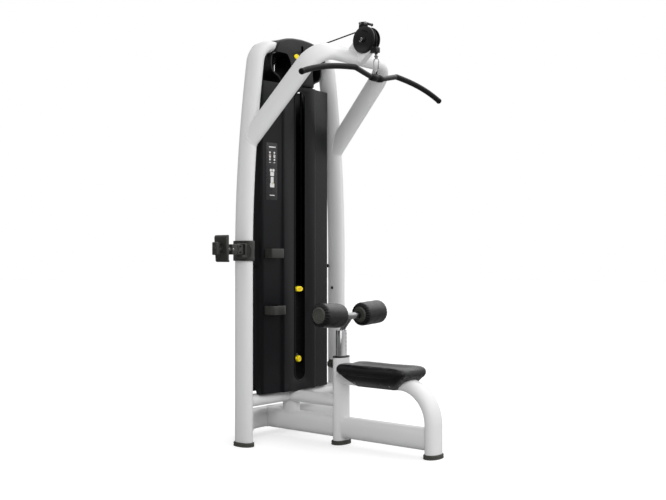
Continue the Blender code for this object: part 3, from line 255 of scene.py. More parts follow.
def make(name, points, faces, material, angle=40):
    mesh = bpy.data.meshes.new(name)
    mesh.from_pydata([tuple(p) for p in points], [], faces)
    work = bmesh.new()
    work.from_mesh(mesh)
    bmesh.ops.remove_doubles(work, verts=work.verts, dist=1e-6)
    bmesh.ops.recalc_face_normals(work, faces=work.faces)
    work.to_mesh(mesh)
    work.free()
    mesh.materials.append(material)
    return smoothed(linked(name, mesh), angle)


def linked(name, data):
    obj = bpy.data.objects.new(name, data)
    bpy.context.scene.collection.objects.link(obj)
    return obj


def loft(name, rings, material, closed=False, angle=40):
    """Skin over a list of rings with the same number of points each, capped unless it closes on itself."""
    count = len(rings[0])
    points = [p for ring in rings for p in ring]
    faces = []
    last = len(rings) if closed else len(rings) - 1
    for r in range(last):
        a, b = r * count, (r + 1) % len(rings) * count
        for i in range(count):
            j = (i + 1) % count
            faces.append((a + i, a + j, b + j, b + i))
    if not closed:
        faces.append(tuple(range(count)))
        faces.append(tuple(range(len(points) - count, len(points))))
    return make(name, points, faces, material, angle)


def oval(half_x, half_y, power=FRAME_POWER, count=64):
    points = []
    for i in range(count):
        angle = 2 * math.pi * i / count
        c, s = math.cos(angle), math.sin(angle)
        points.append((half_x * math.copysign(abs(c) ** (2 / power), c),
                       half_y * math.copysign(abs(s) ** (2 / power), s)))
    return points


def arc(centre, radius, start, end, steps):
    turns = [math.radians(start + (end - start) * i / steps) for i in range(steps + 1)]
    return [(centre[0] + radius * math.cos(a), centre[1] + radius * math.sin(a)) for a in turns]


def spread(points, step):
    """The same path with points no further apart than step."""
    points = [Vector(p) for p in points]
    made = [points[0]]
    for a, b in zip(points, points[1:]):
        parts = max(1, math.ceil((b - a).length / step))
        made += [a.lerp(b, (i + 1) / parts) for i in range(parts)]
    return made


def flat_rings(path, half_in, half_out, frame_of, power=FRAME_POWER):
    """Rings of an oval bar along a path in a plane. frame_of maps (x, y, out) of that plane to space."""
    path = [Vector((*p, 0)) for p in path]
    rings = []
    for i, p in enumerate(path):
        ahead, behind = path[min(i + 1, len(path) - 1)], path[max(i - 1, 0)]
        along = (ahead - behind).normalized()
        side = Vector((-along.y, along.x, 0))
        rings.append([frame_of @ (p + side * u + Vector((0, 0, v))) for u,
                      v in oval(half_in, half_out, power)])
    return rings


def tube(name, path, radius, material, count=24, closed=False, angle=50):
    """Round bar along any path. radius is a number, or one number for each point."""
    path = [Vector(p) for p in path]
    radii = list(radius) if hasattr(radius, "__len__") else [radius] * len(path)
    ends = len(path)
    side, rings = None, []
    for i, p in enumerate(path):
        ahead = path[(i + 1) % ends] if closed else path[min(i + 1, ends - 1)]
        behind = path[i - 1] if closed or i else path[0]
        along = (ahead - behind).normalized()
        if side is None:
            side = along.orthogonal().normalized()
        side = (side - along * side.dot(along)).normalized()
        other = along.cross(side)
        rings.append([p + (side * math.cos(a) + other * math.sin(a)) * radii[i]
                      for a in (2 * math.pi * k / count for k in range(count))])
    return loft(name, rings, material, closed, angle)


def lathe(name, profile, origin, axis, material, steps=64, angle=40, wobble=None):
    """Turns (radius, height) about an axis. A profile that starts off the axis closes on itself."""
    frame_of = facing(origin, axis)
    rings = []
    for k in range(steps):
        a = 2 * math.pi * k / steps
        ring = []
        for r, h in profile:
            extra = wobble(a, r, h) if wobble else 0.0
            ring.append(frame_of @ Vector(((r + extra) * math.cos(a), (r + extra) * math.sin(a), h)))
        rings.append(ring)
    count = len(profile)
    points = [p for ring in rings for p in ring]
    faces = []
    whole = profile[0][0] > 0
    for k in range(steps):
        a, b = k * count, (k + 1) % steps * count
        for i in range(count if whole else count - 1):
            j = (i + 1) % count
            faces.append((a + i, b + i, b + j, a + j))
    return make(name, points, faces, material, angle)


def bevelled(mesh, width, segments, angle=30):
    work = bmesh.new()
    work.from_mesh(mesh)
    sharp = [e for e in work.edges if e.is_manifold and e.calc_face_angle(0) > math.radians(angle)]
    bmesh.ops.bevel(work, geom=sharp, offset=width, segments=segments, profile=0.5, affect="EDGES",
                    clamp_overlap=True)
    work.to_mesh(mesh)
    work.free()


def slab(name, outline, thickness, frame_of, material, bevel=0.0, segments=3, angle=40):
    """A flat outline with a thickness centred on its plane, and rounded edges."""
    count = len(outline)
    half = thickness / 2
    points = [frame_of @ Vector((x, y, h)) for h in (-half, half) for x, y in outline]
    faces = [tuple(range(count)), tuple(range(count, 2 * count))]
    faces += [(i, (i + 1) % count, count + (i + 1) % count, count + i) for i in range(count)]
    obj = make(name, points, faces, material, angle)
    if bevel:
        bevelled(obj.data, bevel, segments)
        smoothed(obj, angle)
    return obj


def block(name, low, high, material, bevel=0.003, segments=3):
    low, high = Vector(low), Vector(high)
    outline = [(low.x, low.y), (high.x, low.y), (high.x, high.y), (low.x, high.y)]
    middle = Matrix.Translation((0, 0, (low.z + high.z) / 2))
    return slab(name, outline, high.z - low.z, middle, material, bevel, segments)


def rod(name, start, end, radius, material, bevel=0.0008, count=32):
    start, end = Vector(start), Vector(end)
    length = (end - start).length
    b = min(bevel, radius * 0.4)
    profile = [(0, length), (radius - b, length), (radius - 0.3 * b, length - 0.3 * b), (radius, length - b),
               (radius, b), (radius - 0.3 * b, 0.3 * b), (radius - b, 0), (0, 0)]
    return lathe(name, profile, start, end - start, material, count)


def hex_bolt(name, origin, axis, size, height, material):
    """A hexagon head with a chamfered top on a washer."""
    frame_of = facing(origin, axis)
    lifted = frame_of @ Matrix.Translation((0, 0, height / 2 + 0.001))
    head = slab(name, hexagon(size), height, lifted, material, size * 0.08, 2, 30)
    low, high = (frame_of @ Vector((0, 0, h)) for h in (-0.0006, 0.0014))
    return joined(name, head, rod(name + "_washer", low, high, size * 1.25, material, 0.0004))


def socket_screw(name, origin, axis, radius, height, material):
    """A domed round head with a thin dark hexagon laid on top, painted shade standing in for its recess."""
    profile = [(0, height), (radius * 0.55, height), (radius * 0.9, height * 0.7), (radius, height * 0.3),
               (radius, -0.001), (0, -0.001)]
    head = lathe(name, profile, origin, axis, material, 32)
    top = Vector(origin) + Vector(axis).normalized() * (height + 0.0001)
    # The dark hexagon is a flat sheet on the head: painted shade of a hexagon recess.
    return joined(name, head, slab(name + "_recess", hexagon(radius * 0.42), 0.0003, facing(top, axis),
                                   DARK_INNER))


def joined(name, *objs):
    """One piece from several meshes, each keeping its materials."""
    materials, work = [], bmesh.new()
    for obj in objs:
        start = len(work.faces)
        copy = obj.data.copy()
        copy.transform(obj.matrix_world)
        slots = list(obj.data.materials)
        materials += [m for m in slots if m not in materials]
        work.from_mesh(copy)
        work.faces.ensure_lookup_table()
        for face in work.faces[start:]:
            face.material_index = materials.index(slots[face.material_index])
    mesh = bpy.data.meshes.new(name)
    work.to_mesh(mesh)
    work.free()
    for m in materials:
        mesh.materials.append(m)
    for obj in objs:
        bpy.data.objects.remove(obj, do_unlink=True)
    return linked(name, mesh)


def settled(obj):
    """The object with its modifiers applied."""
    graph = bpy.context.evaluated_depsgraph_get()
    mesh = bpy.data.meshes.new_from_object(obj.evaluated_get(graph))
    obj.modifiers.clear()
    obj.data = mesh
    return obj


def carved(obj, *cutters, angle=40):
    """The object with the cutters taken out of it."""
    for cutter in cutters:
        modifier = obj.modifiers.new("carve", "BOOLEAN")
        modifier.operation = "DIFFERENCE"
        modifier.solver = "EXACT"
        modifier.object = cutter
    settled(obj)
    for cutter in cutters:
        bpy.data.objects.remove(cutter, do_unlink=True)
    return smoothed(obj, angle)


def fillet(outline, radius, steps=4, closed=False):
    """Rounds the corners of a flat path."""
    points = [Vector(p) for p in outline]
    made = []
    for i, p in enumerate(points):
        if not closed and i in (0, len(points) - 1):
            made.append(tuple(p))
            continue
        a, b = points[i - 1] - p, points[(i + 1) % len(points)] - p
        reach = min(radius, a.length * 0.45, b.length * 0.45)
        start, end = p + a.normalized() * reach, p + b.normalized() * reach
        for k in range(steps + 1):
            t = k / steps
            made.append(tuple((1 - t) ** 2 * start + 2 * t * (1 - t) * p + t * t * end))
    return made


# ---------------------------------------------------------------- frame tubes
XZ = Matrix.Rotation(math.pi / 2, 4, "X")
YZ = Matrix(((0, 0, 1, 0), (1, 0, 0, 0), (0, 1, 0, 0), (0, 0, 0, 1)))


def plane_xz(y):
    return Matrix.Translation((0, y, 0)) @ XZ


def plane_yz(x):
    return Matrix.Translation((x, 0, 0)) @ YZ


def plane_xy(z):
    return Matrix.Translation((0, 0, z))


def upright_centre(z):
    if z < BEND_START_Z:
        return UPRIGHT_X
    return UPRIGHT_X - BEND_RADIUS + math.sqrt(BEND_RADIUS ** 2 - (z - BEND_START_Z) ** 2)


def bridged(right):
    """A half path, its mirror image and a straight length between them."""
    left = [(-x, y) for x, y in reversed(right)]
    return right + [tuple(p) for p in spread([right[-1], left[0]], 0.02)][1:-1] + left


def upright_path(side):
    lean = 9.4
    centre_x = UPRIGHT_X - BEND_RADIUS
    slow = arc((centre_x, BEND_START_Z), BEND_RADIUS, 0, lean, 40)
    end_x, end_z = slow[-1]
    angle = math.radians(lean)
    middle = (end_x - CROWN_RADIUS * math.cos(angle), TIP_Z - CROWN_RADIUS)
    shift = end_z - (middle[1] + CROWN_RADIUS * math.sin(angle))
    slow = [(x, z - shift * max(0, (z - 1.4) / (end_z - 1.4)) ** 2) for x, z in slow]
    points = spread([(UPRIGHT_X, TUBE_LOW), (UPRIGHT_X, BEND_START_Z)], 0.06)
    points += [Vector(p) for p in slow[1:] + arc(middle, CROWN_RADIUS, lean, 90, 32)[1:]]
    points += spread([points[-1], (TIP_X, TIP_Z)], 0.02)[1:]
    return [(side * p[0], p[1]) for p in points]


def arch_path():
    sin, cos = math.sin(ARCH_TAPER), math.cos(ARCH_TAPER)
    turn = 90 - math.degrees(ARCH_TAPER)
    centre_y = ARCH_REACH - ARCH_CORNER
    centre_x = ARCH_FOOT[0] - (centre_y + ARCH_CORNER * sin) * sin / cos - ARCH_CORNER * cos
    right = [(ARCH_FOOT[0] - ARCH_START * sin / cos, ARCH_START)]
    bend = arc((centre_x, centre_y), ARCH_CORNER, 90 - turn, 90, 36)
    right = [tuple(p) for p in spread([right[0], bend[0]], 0.008)] + bend[1:]
    return bridged(right)


def rear_bar_path():
    right = [(UPRIGHT_X, TOWER_Y - 0.006)] + arc((0.075, REAR_BAR_Y - 0.20), 0.20, 54, 90, 24)
    right = [tuple(p) for p in spread(right[:2], 0.008)] + right[2:]
    return bridged(right)


def seat_tube_path():
    centre = (FRONT_LEG_Y + SEAT_BEND, SEAT_TUBE_Z - SEAT_BEND)
    bend = arc(centre, SEAT_BEND, 90, 180, 36)
    points = spread([(0.0, SEAT_TUBE_Z), bend[0]], 0.01)[:-1] + bend
    points += spread([bend[-1], (FRONT_LEG_Y, TUBE_LOW)], 0.02)[1:]
    return [tuple(p) for p in points]


def straight(a, b):
    return [tuple(p) for p in spread([a, b], 0.006)]


ARCH_FRAME = Matrix.Translation((0, ARCH_FOOT[1], ARCH_FOOT[2])) @ Matrix.Rotation(ARCH_LEAN, 4, "X")
RINGS = {
    "left_upright": flat_rings(upright_path(-1), TUBE_THIN, TUBE_WIDE, plane_xz(TOWER_Y)),
    "right_upright": flat_rings(upright_path(1), TUBE_THIN, TUBE_WIDE, plane_xz(TOWER_Y)),
    "overhead_arch": flat_rings(arch_path(), ARCH_THIN, TUBE_WIDE, ARCH_FRAME),
    "rear_base_bar": flat_rings(rear_bar_path(), BASE_HALF_WIDTH, BASE_HALF_HEIGHT, plane_xy(BASE_Z),
                                BASE_POWER),
    "tower_cross_bar": flat_rings(straight((-0.352, CROSS_BAR_Z), (0.352, CROSS_BAR_Z)), TUBE_THIN,
                                  CROSS_BAR_HALF,
                                  plane_xz(CROSS_BAR_Y)),
    "link_beam": flat_rings(straight((CROSS_BAR_Y, LINK_Z), (0, LINK_Z)), LINK_HALF_HEIGHT, LINK_HALF_WIDTH,
                            plane_yz(0)),
    "joint_post": flat_rings(straight((JOINT_POST_Y, BASE_Z), (JOINT_POST_Y, CROSS_BAR_Z)), TUBE_WIDE,
                             TUBE_THIN, plane_yz(0)),
    "main_beam_rear": flat_rings(straight((REAR_BAR_Y, BASE_Z), (0, BASE_Z)), BASE_HALF_HEIGHT,
                                 BASE_HALF_WIDTH,
                                 plane_yz(0), BASE_POWER),
    "main_beam_front": flat_rings(straight((0, BASE_Z), (FRONT_LEG_Y, BASE_Z)), BASE_HALF_HEIGHT,
                                  BASE_HALF_WIDTH,
                                  plane_yz(0), BASE_POWER),
    "seat_tube": flat_rings(seat_tube_path(), SEAT_TUBE_THIN, TUBE_WIDE, plane_yz(0)),
}


def beyond(u, v, half_u, half_v, power):
    """Positive outside an oval bar."""
    return abs(u / half_u) ** power + abs(v / half_v) ** power - 1


def in_upright(p):
    return beyond(abs(p.x) - upright_centre(p.z), p.y - TOWER_Y, TUBE_THIN, TUBE_WIDE, FRAME_POWER)


def in_seat_post(p):
    return beyond(p.x, p.y, TUBE_WIDE, TUBE_THIN, FRAME_POWER)


def in_front_leg(p):
    return beyond(p.x, p.y - FRONT_LEG_Y, TUBE_WIDE, SEAT_TUBE_THIN, FRAME_POWER)


def in_rear_bar(p):
    return beyond(p.y - REAR_BAR_Y, p.z - BASE_Z, BASE_HALF_WIDTH, BASE_HALF_HEIGHT, BASE_POWER)


def in_cross_bar(p):
    return beyond(p.z - CROSS_BAR_Z, p.y - CROSS_BAR_Y, TUBE_THIN, CROSS_BAR_HALF, FRAME_POWER)


def in_main_beam(p):
    return beyond(p.x, p.z - BASE_Z, BASE_HALF_WIDTH, BASE_HALF_HEIGHT, BASE_POWER)


def in_link_beam(p):
    return beyond(p.x, p.z - LINK_Z, LINK_HALF_WIDTH, LINK_HALF_HEIGHT, FRAME_POWER)


def weld(name, rings, outside, from_end):
    """The bead where a bar's skin enters its neighbour, slightly rippled as a welder leaves it."""
    rings = rings[::-1] if from_end else rings
    path = []
    for i in range(len(rings[0])):
        line = [ring[i] for ring in rings]
        for a, b in zip(line, line[1:]):
            start, end = outside(a), outside(b)
            if start <= 0 < end:
                path.append(a.lerp(b, -start / (end - start)))
                break
    if len(path) < 0.8 * len(rings[0]):
        return None
    path = spread(path + path[:1], 0.0022)[:-1]
    radii = [0.0030 + 0.0004 * math.sin(i * 1.9) + RANDOM.uniform(-0.0002, 0.0002) for i in range(len(path))]
    return tube(name, path, radii, WHITE, 10, closed=True)


WELDS = {
    "overhead_arch": ((in_upright, False), (in_upright, True)),
    "tower_cross_bar": ((in_upright, False), (in_upright, True)),
    "rear_base_bar": ((in_upright, False), (in_upright, True)),
    "link_beam": ((in_cross_bar, False), (in_seat_post, True)),
    "joint_post": ((in_main_beam, False), (in_link_beam, True)),
    "main_beam_rear": ((in_rear_bar, False), (in_seat_post, True)),
    "main_beam_front": ((in_seat_post, False), (in_front_leg, True)),
    "seat_tube": ((in_seat_post, False),),
}


def build_tubes():
    for name, rings in RINGS.items():
        parts = [loft(name + "_bar", rings, WHITE, angle=50)]
        if name.startswith("main_beam"):
            bore = [ring_at(z, BORE_WIDE, BORE_THIN) for z in (0.0, 0.3)]
            carved(parts[0], loft("beam_bore_cut", bore, WHITE), angle=50)
        for index, (outside, from_end) in enumerate(WELDS.get(name, ())):
            bead = weld(f"{name}_weld_{index}", rings, outside, from_end)
            if bead:
                parts.append(bead)
        place(joined(name + "_tube", *parts), "root", name)


def ring_at(z, half_x, half_y, power=FRAME_POWER, centre=(0.0, 0.0), count=64):
    return [Vector((centre[0] + x, centre[1] + y, z)) for x, y in oval(half_x, half_y, power, count)]


def build_seat_post():
    """Open oval tube with a rolled rim; the thigh post slides inside it."""
    top, low = SEAT_POST_TOP, TUBE_LOW
    rings = [ring_at(low, TUBE_WIDE, TUBE_THIN)]
    rings += [ring_at(top - 0.004, TUBE_WIDE, TUBE_THIN),
              ring_at(top - 0.0012, TUBE_WIDE - 0.0008, TUBE_THIN - 0.0008)]
    rings += [ring_at(top, TUBE_WIDE - 0.003, TUBE_THIN - 0.003),
              ring_at(top, BORE_WIDE + 0.001, BORE_THIN + 0.001)]
    rings += [ring_at(top - 0.001, BORE_WIDE, BORE_THIN), ring_at(0.085, BORE_WIDE, BORE_THIN)]
    post = loft("seat_post_tube", rings, WHITE)
    hole = rod("post_pin_hole", (0, 0.0, POP_PIN_Z), (0, 0.06, POP_PIN_Z), 0.0065, DARK_INNER)
    place(carved(post, hole), "root", "seat_post")
    low, high = SEAT_POST_TOP + 0.0003, SEAT_POST_TOP + 0.008
    wide, thin = POST_WIDE + 0.0006, POST_THIN + 0.0006
    rings = [ring_at(low, wide, thin), ring_at(low, TUBE_WIDE + 0.0005, TUBE_THIN + 0.0005),
             ring_at(low + 0.003, TUBE_WIDE + 0.0012, TUBE_THIN + 0.0012),
             ring_at(high - 0.002, TUBE_WIDE, TUBE_THIN), ring_at(high, TUBE_WIDE - 0.004, TUBE_THIN - 0.004),
             ring_at(high + 0.0014, wide + 0.003, thin + 0.003), ring_at(high + 0.001, wide, thin)]
    place(loft("post_collar", rings, BLACK, closed=True), "root", "post_gasket")


def build_feet():
    long, short = TUBE_WIDE + 0.0075, TUBE_THIN + 0.0085
    spots = {"foot_left": (-UPRIGHT_X, TOWER_Y, short, long), "foot_right": (UPRIGHT_X, TOWER_Y, short, long),
             "foot_middle": (0, 0, long, short), "foot_front": (0, FRONT_LEG_Y, long, short)}
    outline = ((0.0, -0.006), (0.0, -0.0015), (0.0012, 0.0), (0.007, 0.0), (0.009, -0.0016),
               (0.0105, -0.0016),
               (0.0125, 0.0), (0.0185, -0.0006), (0.0212, -0.0022), (0.022, -0.0050))
    for name, (x, y, half_x, half_y) in spots.items():
        rings = [ring_at(z, half_x + grow, half_y + grow, FRAME_POWER, (x, y)) for z, grow in outline]
        place(loft(name + "_pad", rings, RUBBER), "root", name)


# ---------------------------------------------------------------- pulley, cable and bar
def bracket_outline():
    y, z = FRONT_PULLEY
    nose = arc(FRONT_PULLEY, 0.047, 49.5, 185, 20)
    foot = [(y - 0.0455, z - 0.0532), (y + 0.0305, z - 0.1182), (y + 0.065, z - 0.100),
            (y + 0.130, z - 0.050)]
    return fillet(nose + foot, 0.006, 3, closed=True)


def build_bracket():
    bracket = slab("bracket_body", bracket_outline(), 0.040, plane_yz(0), WHITE, 0.0022, 3)
    room = lathe("bracket_room", [(0, 0.0096), (0.075, 0.0096), (0.075, -0.0096), (0, -0.0096)],
                 (0, *FRONT_PULLEY), (1, 0, 0), WHITE)
    carved(bracket, room)
    y, z = FRONT_PULLEY
    beads = []
    for side in (-1, 1):
        x = side * 0.0205
        line = spread([(x, y + 0.028, z - 0.1135), (x, y + 0.060, z - 0.088), (x, y + 0.129, z - 0.0415)],
                      0.0025)
        radii = [0.0028 + 0.0005 * math.sin(i * 1.7) for i in range(len(line))]
        beads.append(tube("bracket_bead", line, radii, WHITE, 10))
    place(joined("pulley_bracket_plate", bracket, *beads), "root", "pulley_bracket")


def wheel(name, centre, groove, body, node_name):
    """Nylon wheel: a hub with a bearing ring, a web with lightening dishes, and a rounded cable groove."""
    half, bore = 0.009, 0.0063
    floor = groove - CABLE_RADIUS - 0.0003
    lip = floor + 0.005
    right = [(bore, half), (0.010, half), (0.0105, half - 0.001), (0.014, half - 0.001),
             (0.016, half - 0.0032),
             (floor - 0.014, half - 0.0034), (floor - 0.010, half - 0.001), (floor - 0.004, half),
             (lip - 0.001, half),
             (lip, half - 0.001), (lip - 0.0005, half - 0.0022)]
    cup = [(floor + 0.0030 * (1 - math.cos(a)), 0.0030 * math.sin(a))
           for a in (math.radians(60 - 24 * k) for k in range(6))]
    left = [(r, -h) for r, h in reversed(right)]
    place(lathe(name, right + cup + left, (0, *centre), (1, 0, 0), BLACK, 96), body, node_name)


def cover_shell(name, side, depth, hub):
    """A domed disc with a rolled rim and a sunk hub."""
    profile = [(0.0063, hub - 0.0002), (0.0128, hub - 0.0002), (0.0133, hub + 0.0045), (0.0142, hub + 0.0055),
               (0.0160, hub + 0.0052), (0.0172, hub + 0.0030), (0.0186, hub - 0.0050), (0.030, hub - 0.0055),
               (0.044, hub - 0.0065), (0.056, hub - 0.0080),
               (0.0635, depth - 0.0005), (0.068, depth - 0.002), (0.0702, depth - 0.004),
               (COVER_RADIUS, depth - 0.006),
               (COVER_RADIUS, COVER_BACK + 0.001), (COVER_RADIUS - 0.001, COVER_BACK), (0.0063, COVER_BACK)]
    return lathe(name, profile, (0, *FRONT_PULLEY), (side, 0, 0), BLACK, 96)


def crescent(name, x, radius, start, step, thick, material, count):
    """A thin curved mark on a cover's face, tapering to its ends."""
    y, z = FRONT_PULLEY
    turns = [math.radians(start + step * k) for k in range(len(thick))]
    line = [(x, y + radius * math.cos(a), z + radius * math.sin(a)) for a in turns]
    return tube(name, line, thick, material, count)


def cable_guide():
    """The block that the cable leaves by, opened for the cable and for the wheel."""
    y, z = FRONT_PULLEY
    guide = block("guide_block", (-0.022, BAR_Y - 0.016, 2.060), (0.013, BAR_Y + 0.022, 2.089), BLACK,
                  0.0035, 3)
    arm = block("guide_arm", (-0.027, BAR_Y + 0.004, 2.072), (-COVER_BACK, BAR_Y + 0.040, 2.109), BLACK,
                0.003, 3)
    profile = [(0.0048, 2.0925), (0.0072, 2.0925), (0.0082, 2.0915), (0.0082, 2.055), (0.0070, 2.0535),
               (0.0048, 2.0535)]
    rim = lathe("guide_rim", profile, (0, BAR_Y, 0), (0, 0, 1), BLACK, 32)
    way = rod("guide_way", (0, BAR_Y, 2.04), (0, BAR_Y, 2.11), 0.0052, BLACK)
    room = rod("guide_room", (-0.020, y, z), (0.020, y, z), COVER_RADIUS + 0.0015, BLACK, 0.0001, 96)
    return [carved(joined("guide", guide, arm), way, room), rim]


def cable_guard():
    """Two bolted spacers over the wheel and the strap that ties them to the cover."""
    y, z = FRONT_PULLEY
    parts = []
    for by, bz in GUARD_BOLTS:
        parts.append(rod("guard_spacer", (-0.0265, by, bz), (0.0265, by, bz), 0.0068, BLACK, 0.001))
        parts.append(hex_bolt("guard_head", (-0.0275, by, bz), (-1, 0, 0), 0.0070, 0.0058, STEEL))
        parts.append(hex_bolt("guard_nut", (0.0275, by, bz), (1, 0, 0), 0.0070, 0.0030, STEEL))
    (ay, az), (by, bz) = GUARD_BOLTS
    strap = [(ay + 0.010, az - 0.006), (ay + 0.006, az + 0.006), (ay, az + 0.0085), (by, bz + 0.0085),
             (by - 0.008, bz + 0.003), (by - 0.008, bz - 0.006), (y - 0.024, z + 0.062),
             (y + 0.034, z + 0.058)]
    parts.append(slab("guard_strap", fillet(strap, 0.004, 3, True), 0.0055, plane_yz(-0.0238), BLACK, 0.0012,
                      2))
    return parts


def build_axle(name, node_name, centre, low, high):
    cy, cz = centre
    shank = rod(name + "_shank", (-low, cy, cz), (high, cy, cz), 0.0058, STEEL)
    head = socket_screw(name + "_head", (-low - 0.0004, cy, cz), (-1, 0, 0), 0.0095, 0.0055, STEEL)
    nut = hex_bolt(name + "_nut", (high + 0.0012, cy, cz), (1, 0, 0), 0.0085, 0.0042, STEEL)
    place(joined(name, shank, head, nut), "root", node_name)


def build_pulley():
    build_bracket()
    wheel("front_wheel_body", FRONT_PULLEY, FRONT_GROOVE, "front_wheel", "front_pulley")
    wheel("head_wheel_body", HEAD_PULLEY, HEAD_GROOVE, "head_wheel", "head_pulley")
    wear_and_painted_shade = [0.0024 * math.sin(math.pi * (k + 0.6) / 26.2) for k in range(26)]
    clip_and_painted_highlight = [0.0003 + 0.0016 * math.sin(math.pi * k / 20) for k in range(21)]
    left = [cover_shell("cover_left_disc", -1, 0.033, 0.042)]
    # A thin raised arc on the near cover, coloured with the unlit black: painted shade along the ridge.
    left.append(crescent("cover_ridge", -0.0362, 0.045, 80, 2.5, wear_and_painted_shade, DARK_INNER, 10))
    # A tapering sliver of bright steel on the sunk hub's rim: a painted highlight.
    left.append(crescent("hub_painted_highlight", -0.0472, 0.0149, -96, 4, clip_and_painted_highlight, STEEL, 12))
    left += cable_guide() + cable_guard()
    place(joined("pulley_cover_near", *left), "root", "pulley_cover_left")
    place(cover_shell("pulley_cover_far", 1, 0.029, 0.034), "root", "pulley_cover_right")
    build_axle("front_axle_bolt", "front_axle", FRONT_PULLEY, 0.042, 0.034)
    build_axle("head_axle_bolt", "head_axle", HEAD_PULLEY, 0.023, 0.023)


def cable_path():
    dy, dz = FRONT_PULLEY[0] - HEAD_PULLEY[0], FRONT_PULLEY[1] - HEAD_PULLEY[1]
    slope = math.degrees(math.atan2(dz, -dy) + math.asin((FRONT_GROOVE - HEAD_GROOVE) / math.hypot(dy, dz)))
    head = arc(HEAD_PULLEY, HEAD_GROOVE, 0, 90 - slope, 30)
    front = arc(FRONT_PULLEY, FRONT_GROOVE, 90 - slope, 180, 36)
    return [(0, y, z) for y, z in [(STACK_Y, RISE_TOP)] + head + front + [(BAR_Y, DROP_TOP)]]


def stretching_cable(name, node_name, y, low, high, step):
    """An upright length of cable between its moving lower end and the frame, built once as a straight tube
    that rides no body.
    """
    cable = tube(name, spread([(0, y, low), (0, y, high)], step), CABLE_RADIUS, CABLE, 14)
    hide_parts(node_name)
    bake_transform(cable)


def build_cables():
    place(tube("cable_over_wheels", spread(cable_path(), 0.02), CABLE_RADIUS, CABLE, 14), "root",
          "cable_span")
    stretching_cable("cable_to_bar", "cable_drop", BAR_Y, FERRULE_TOP - 0.002, DROP_TOP,
                     0.004)
    stretching_cable("cable_to_stack", "cable_stack", STACK_Y, STEM_TOP, RISE_TOP,
                     0.02)


def build_hook():
    top, low = FERRULE_TOP, HOOK_TOP
    profile = [(0, top), (0.0052, top), (0.0066, top - 0.0012), (0.0070, top - 0.004), (0.0060, top - 0.0052),
               (0.0074, top - 0.0064), (0.0078, top - 0.010), (0.0090, top - 0.0114), (0.0104, low + 0.012),
               (0.0112, low + 0.010), (0.0115, low + 0.0065), (0.0108, low + 0.0045), (0.0088, low + 0.0025),
               (0.0060, low + 0.0003), (0, low + 0.0003)]
    place(lathe("ferrule_body", profile, (0, BAR_Y, 0), (0, 0, 1), STEEL, 48), "drop", "cable_ferrule")
    half, high, bottom, wire = 0.0165, HOOK_TOP - HOOK_WIRE, HOOK_BOTTOM + HOOK_WIRE, HOOK_WIRE
    loop = arc((0, high - half), half, 90, 0, 16)
    loop += arc((0, bottom + 0.011), 0.011, 0, -180, 22) + arc((0, high - half), half, 180, 90, 16)[:-1]
    path = [(0, BAR_Y + y, z) for y, z in spread(loop + loop[:1], 0.003)[:-1]]
    gate_low, gate_high = (0, BAR_Y - 0.0123, bottom + 0.016), (0, BAR_Y - 0.0157, high - 0.018)
    hinge_y, hinge_z = BAR_Y - 0.0150, high - 0.022
    parts = [tube("hook_wire", path, wire, STEEL, 16, closed=True),
             rod("hook_gate", gate_high, gate_low, 0.0031, STEEL)]
    parts.append(rod("hook_hinge", (-0.0036, hinge_y, hinge_z), (0.0036, hinge_y, hinge_z), 0.0016, STEEL))
    profile = [(0.0027, 0.004), (0.0042, 0.003), (0.0044, 0), (0.0042, -0.003), (0.0027, -0.004)]
    parts.append(lathe("hook_collar", profile, (0, BAR_Y, high), (0, 1, 0), STEEL, 24))
    place(joined("snap_hook_body", *parts), "hook", "snap_hook")


def bar_height(x):
    along = (x - BAR_BEND[0]) / (BAR_END[0] - BAR_BEND[0])
    return BAR_BEND[1] - (BAR_BEND[1] - BAR_END[1]) * (0.42 * along + 0.58 * along ** 2.6)


def bar_half():
    rough = [(0.0, BAR_CENTRE_Z), (0.030, BAR_CENTRE_Z), (0.062, BAR_CENTRE_Z + 0.0045),
             (0.150, BAR_BEND[1] - 0.006)]
    rough += [(x, bar_height(x)) for x in (BAR_BEND[0] + (BAR_END[0] - BAR_BEND[0]) * i / 24
                                           for i in range(25))]
    return fillet(rough[:6], 0.028, 8) + rough[6:]


def bar_grip(side, grip):
    """A ribbed rubber sleeve and the cap at its end."""
    line = [(side * x, BAR_Y, z) for x, z in grip]
    radii = []
    for i in range(len(grip) - 2):
        ridge = 0.0003 if (i // 2) % 2 else 0.0
        radii.append(0.0139 + 0.0006 * min(1.0, (i + 1) / 3) + ridge)
    sleeve = tube("bar_grip", line, radii + [0.0142, 0.0142], GRIP, 40, angle=70)
    end, before = Vector(line[-1]), Vector(line[-3])
    profile = [(0, 0.0030), (0.006, 0.0028), (0.0112, 0.0018), (0.0148, -0.0010), (0.0156, -0.0040),
               (0.0156, -0.0120),
               (0.0146, -0.0132), (0, -0.0132)]
    return [sleeve, lathe("bar_end", profile, end, (end - before).normalized(), GRIP, 40)]


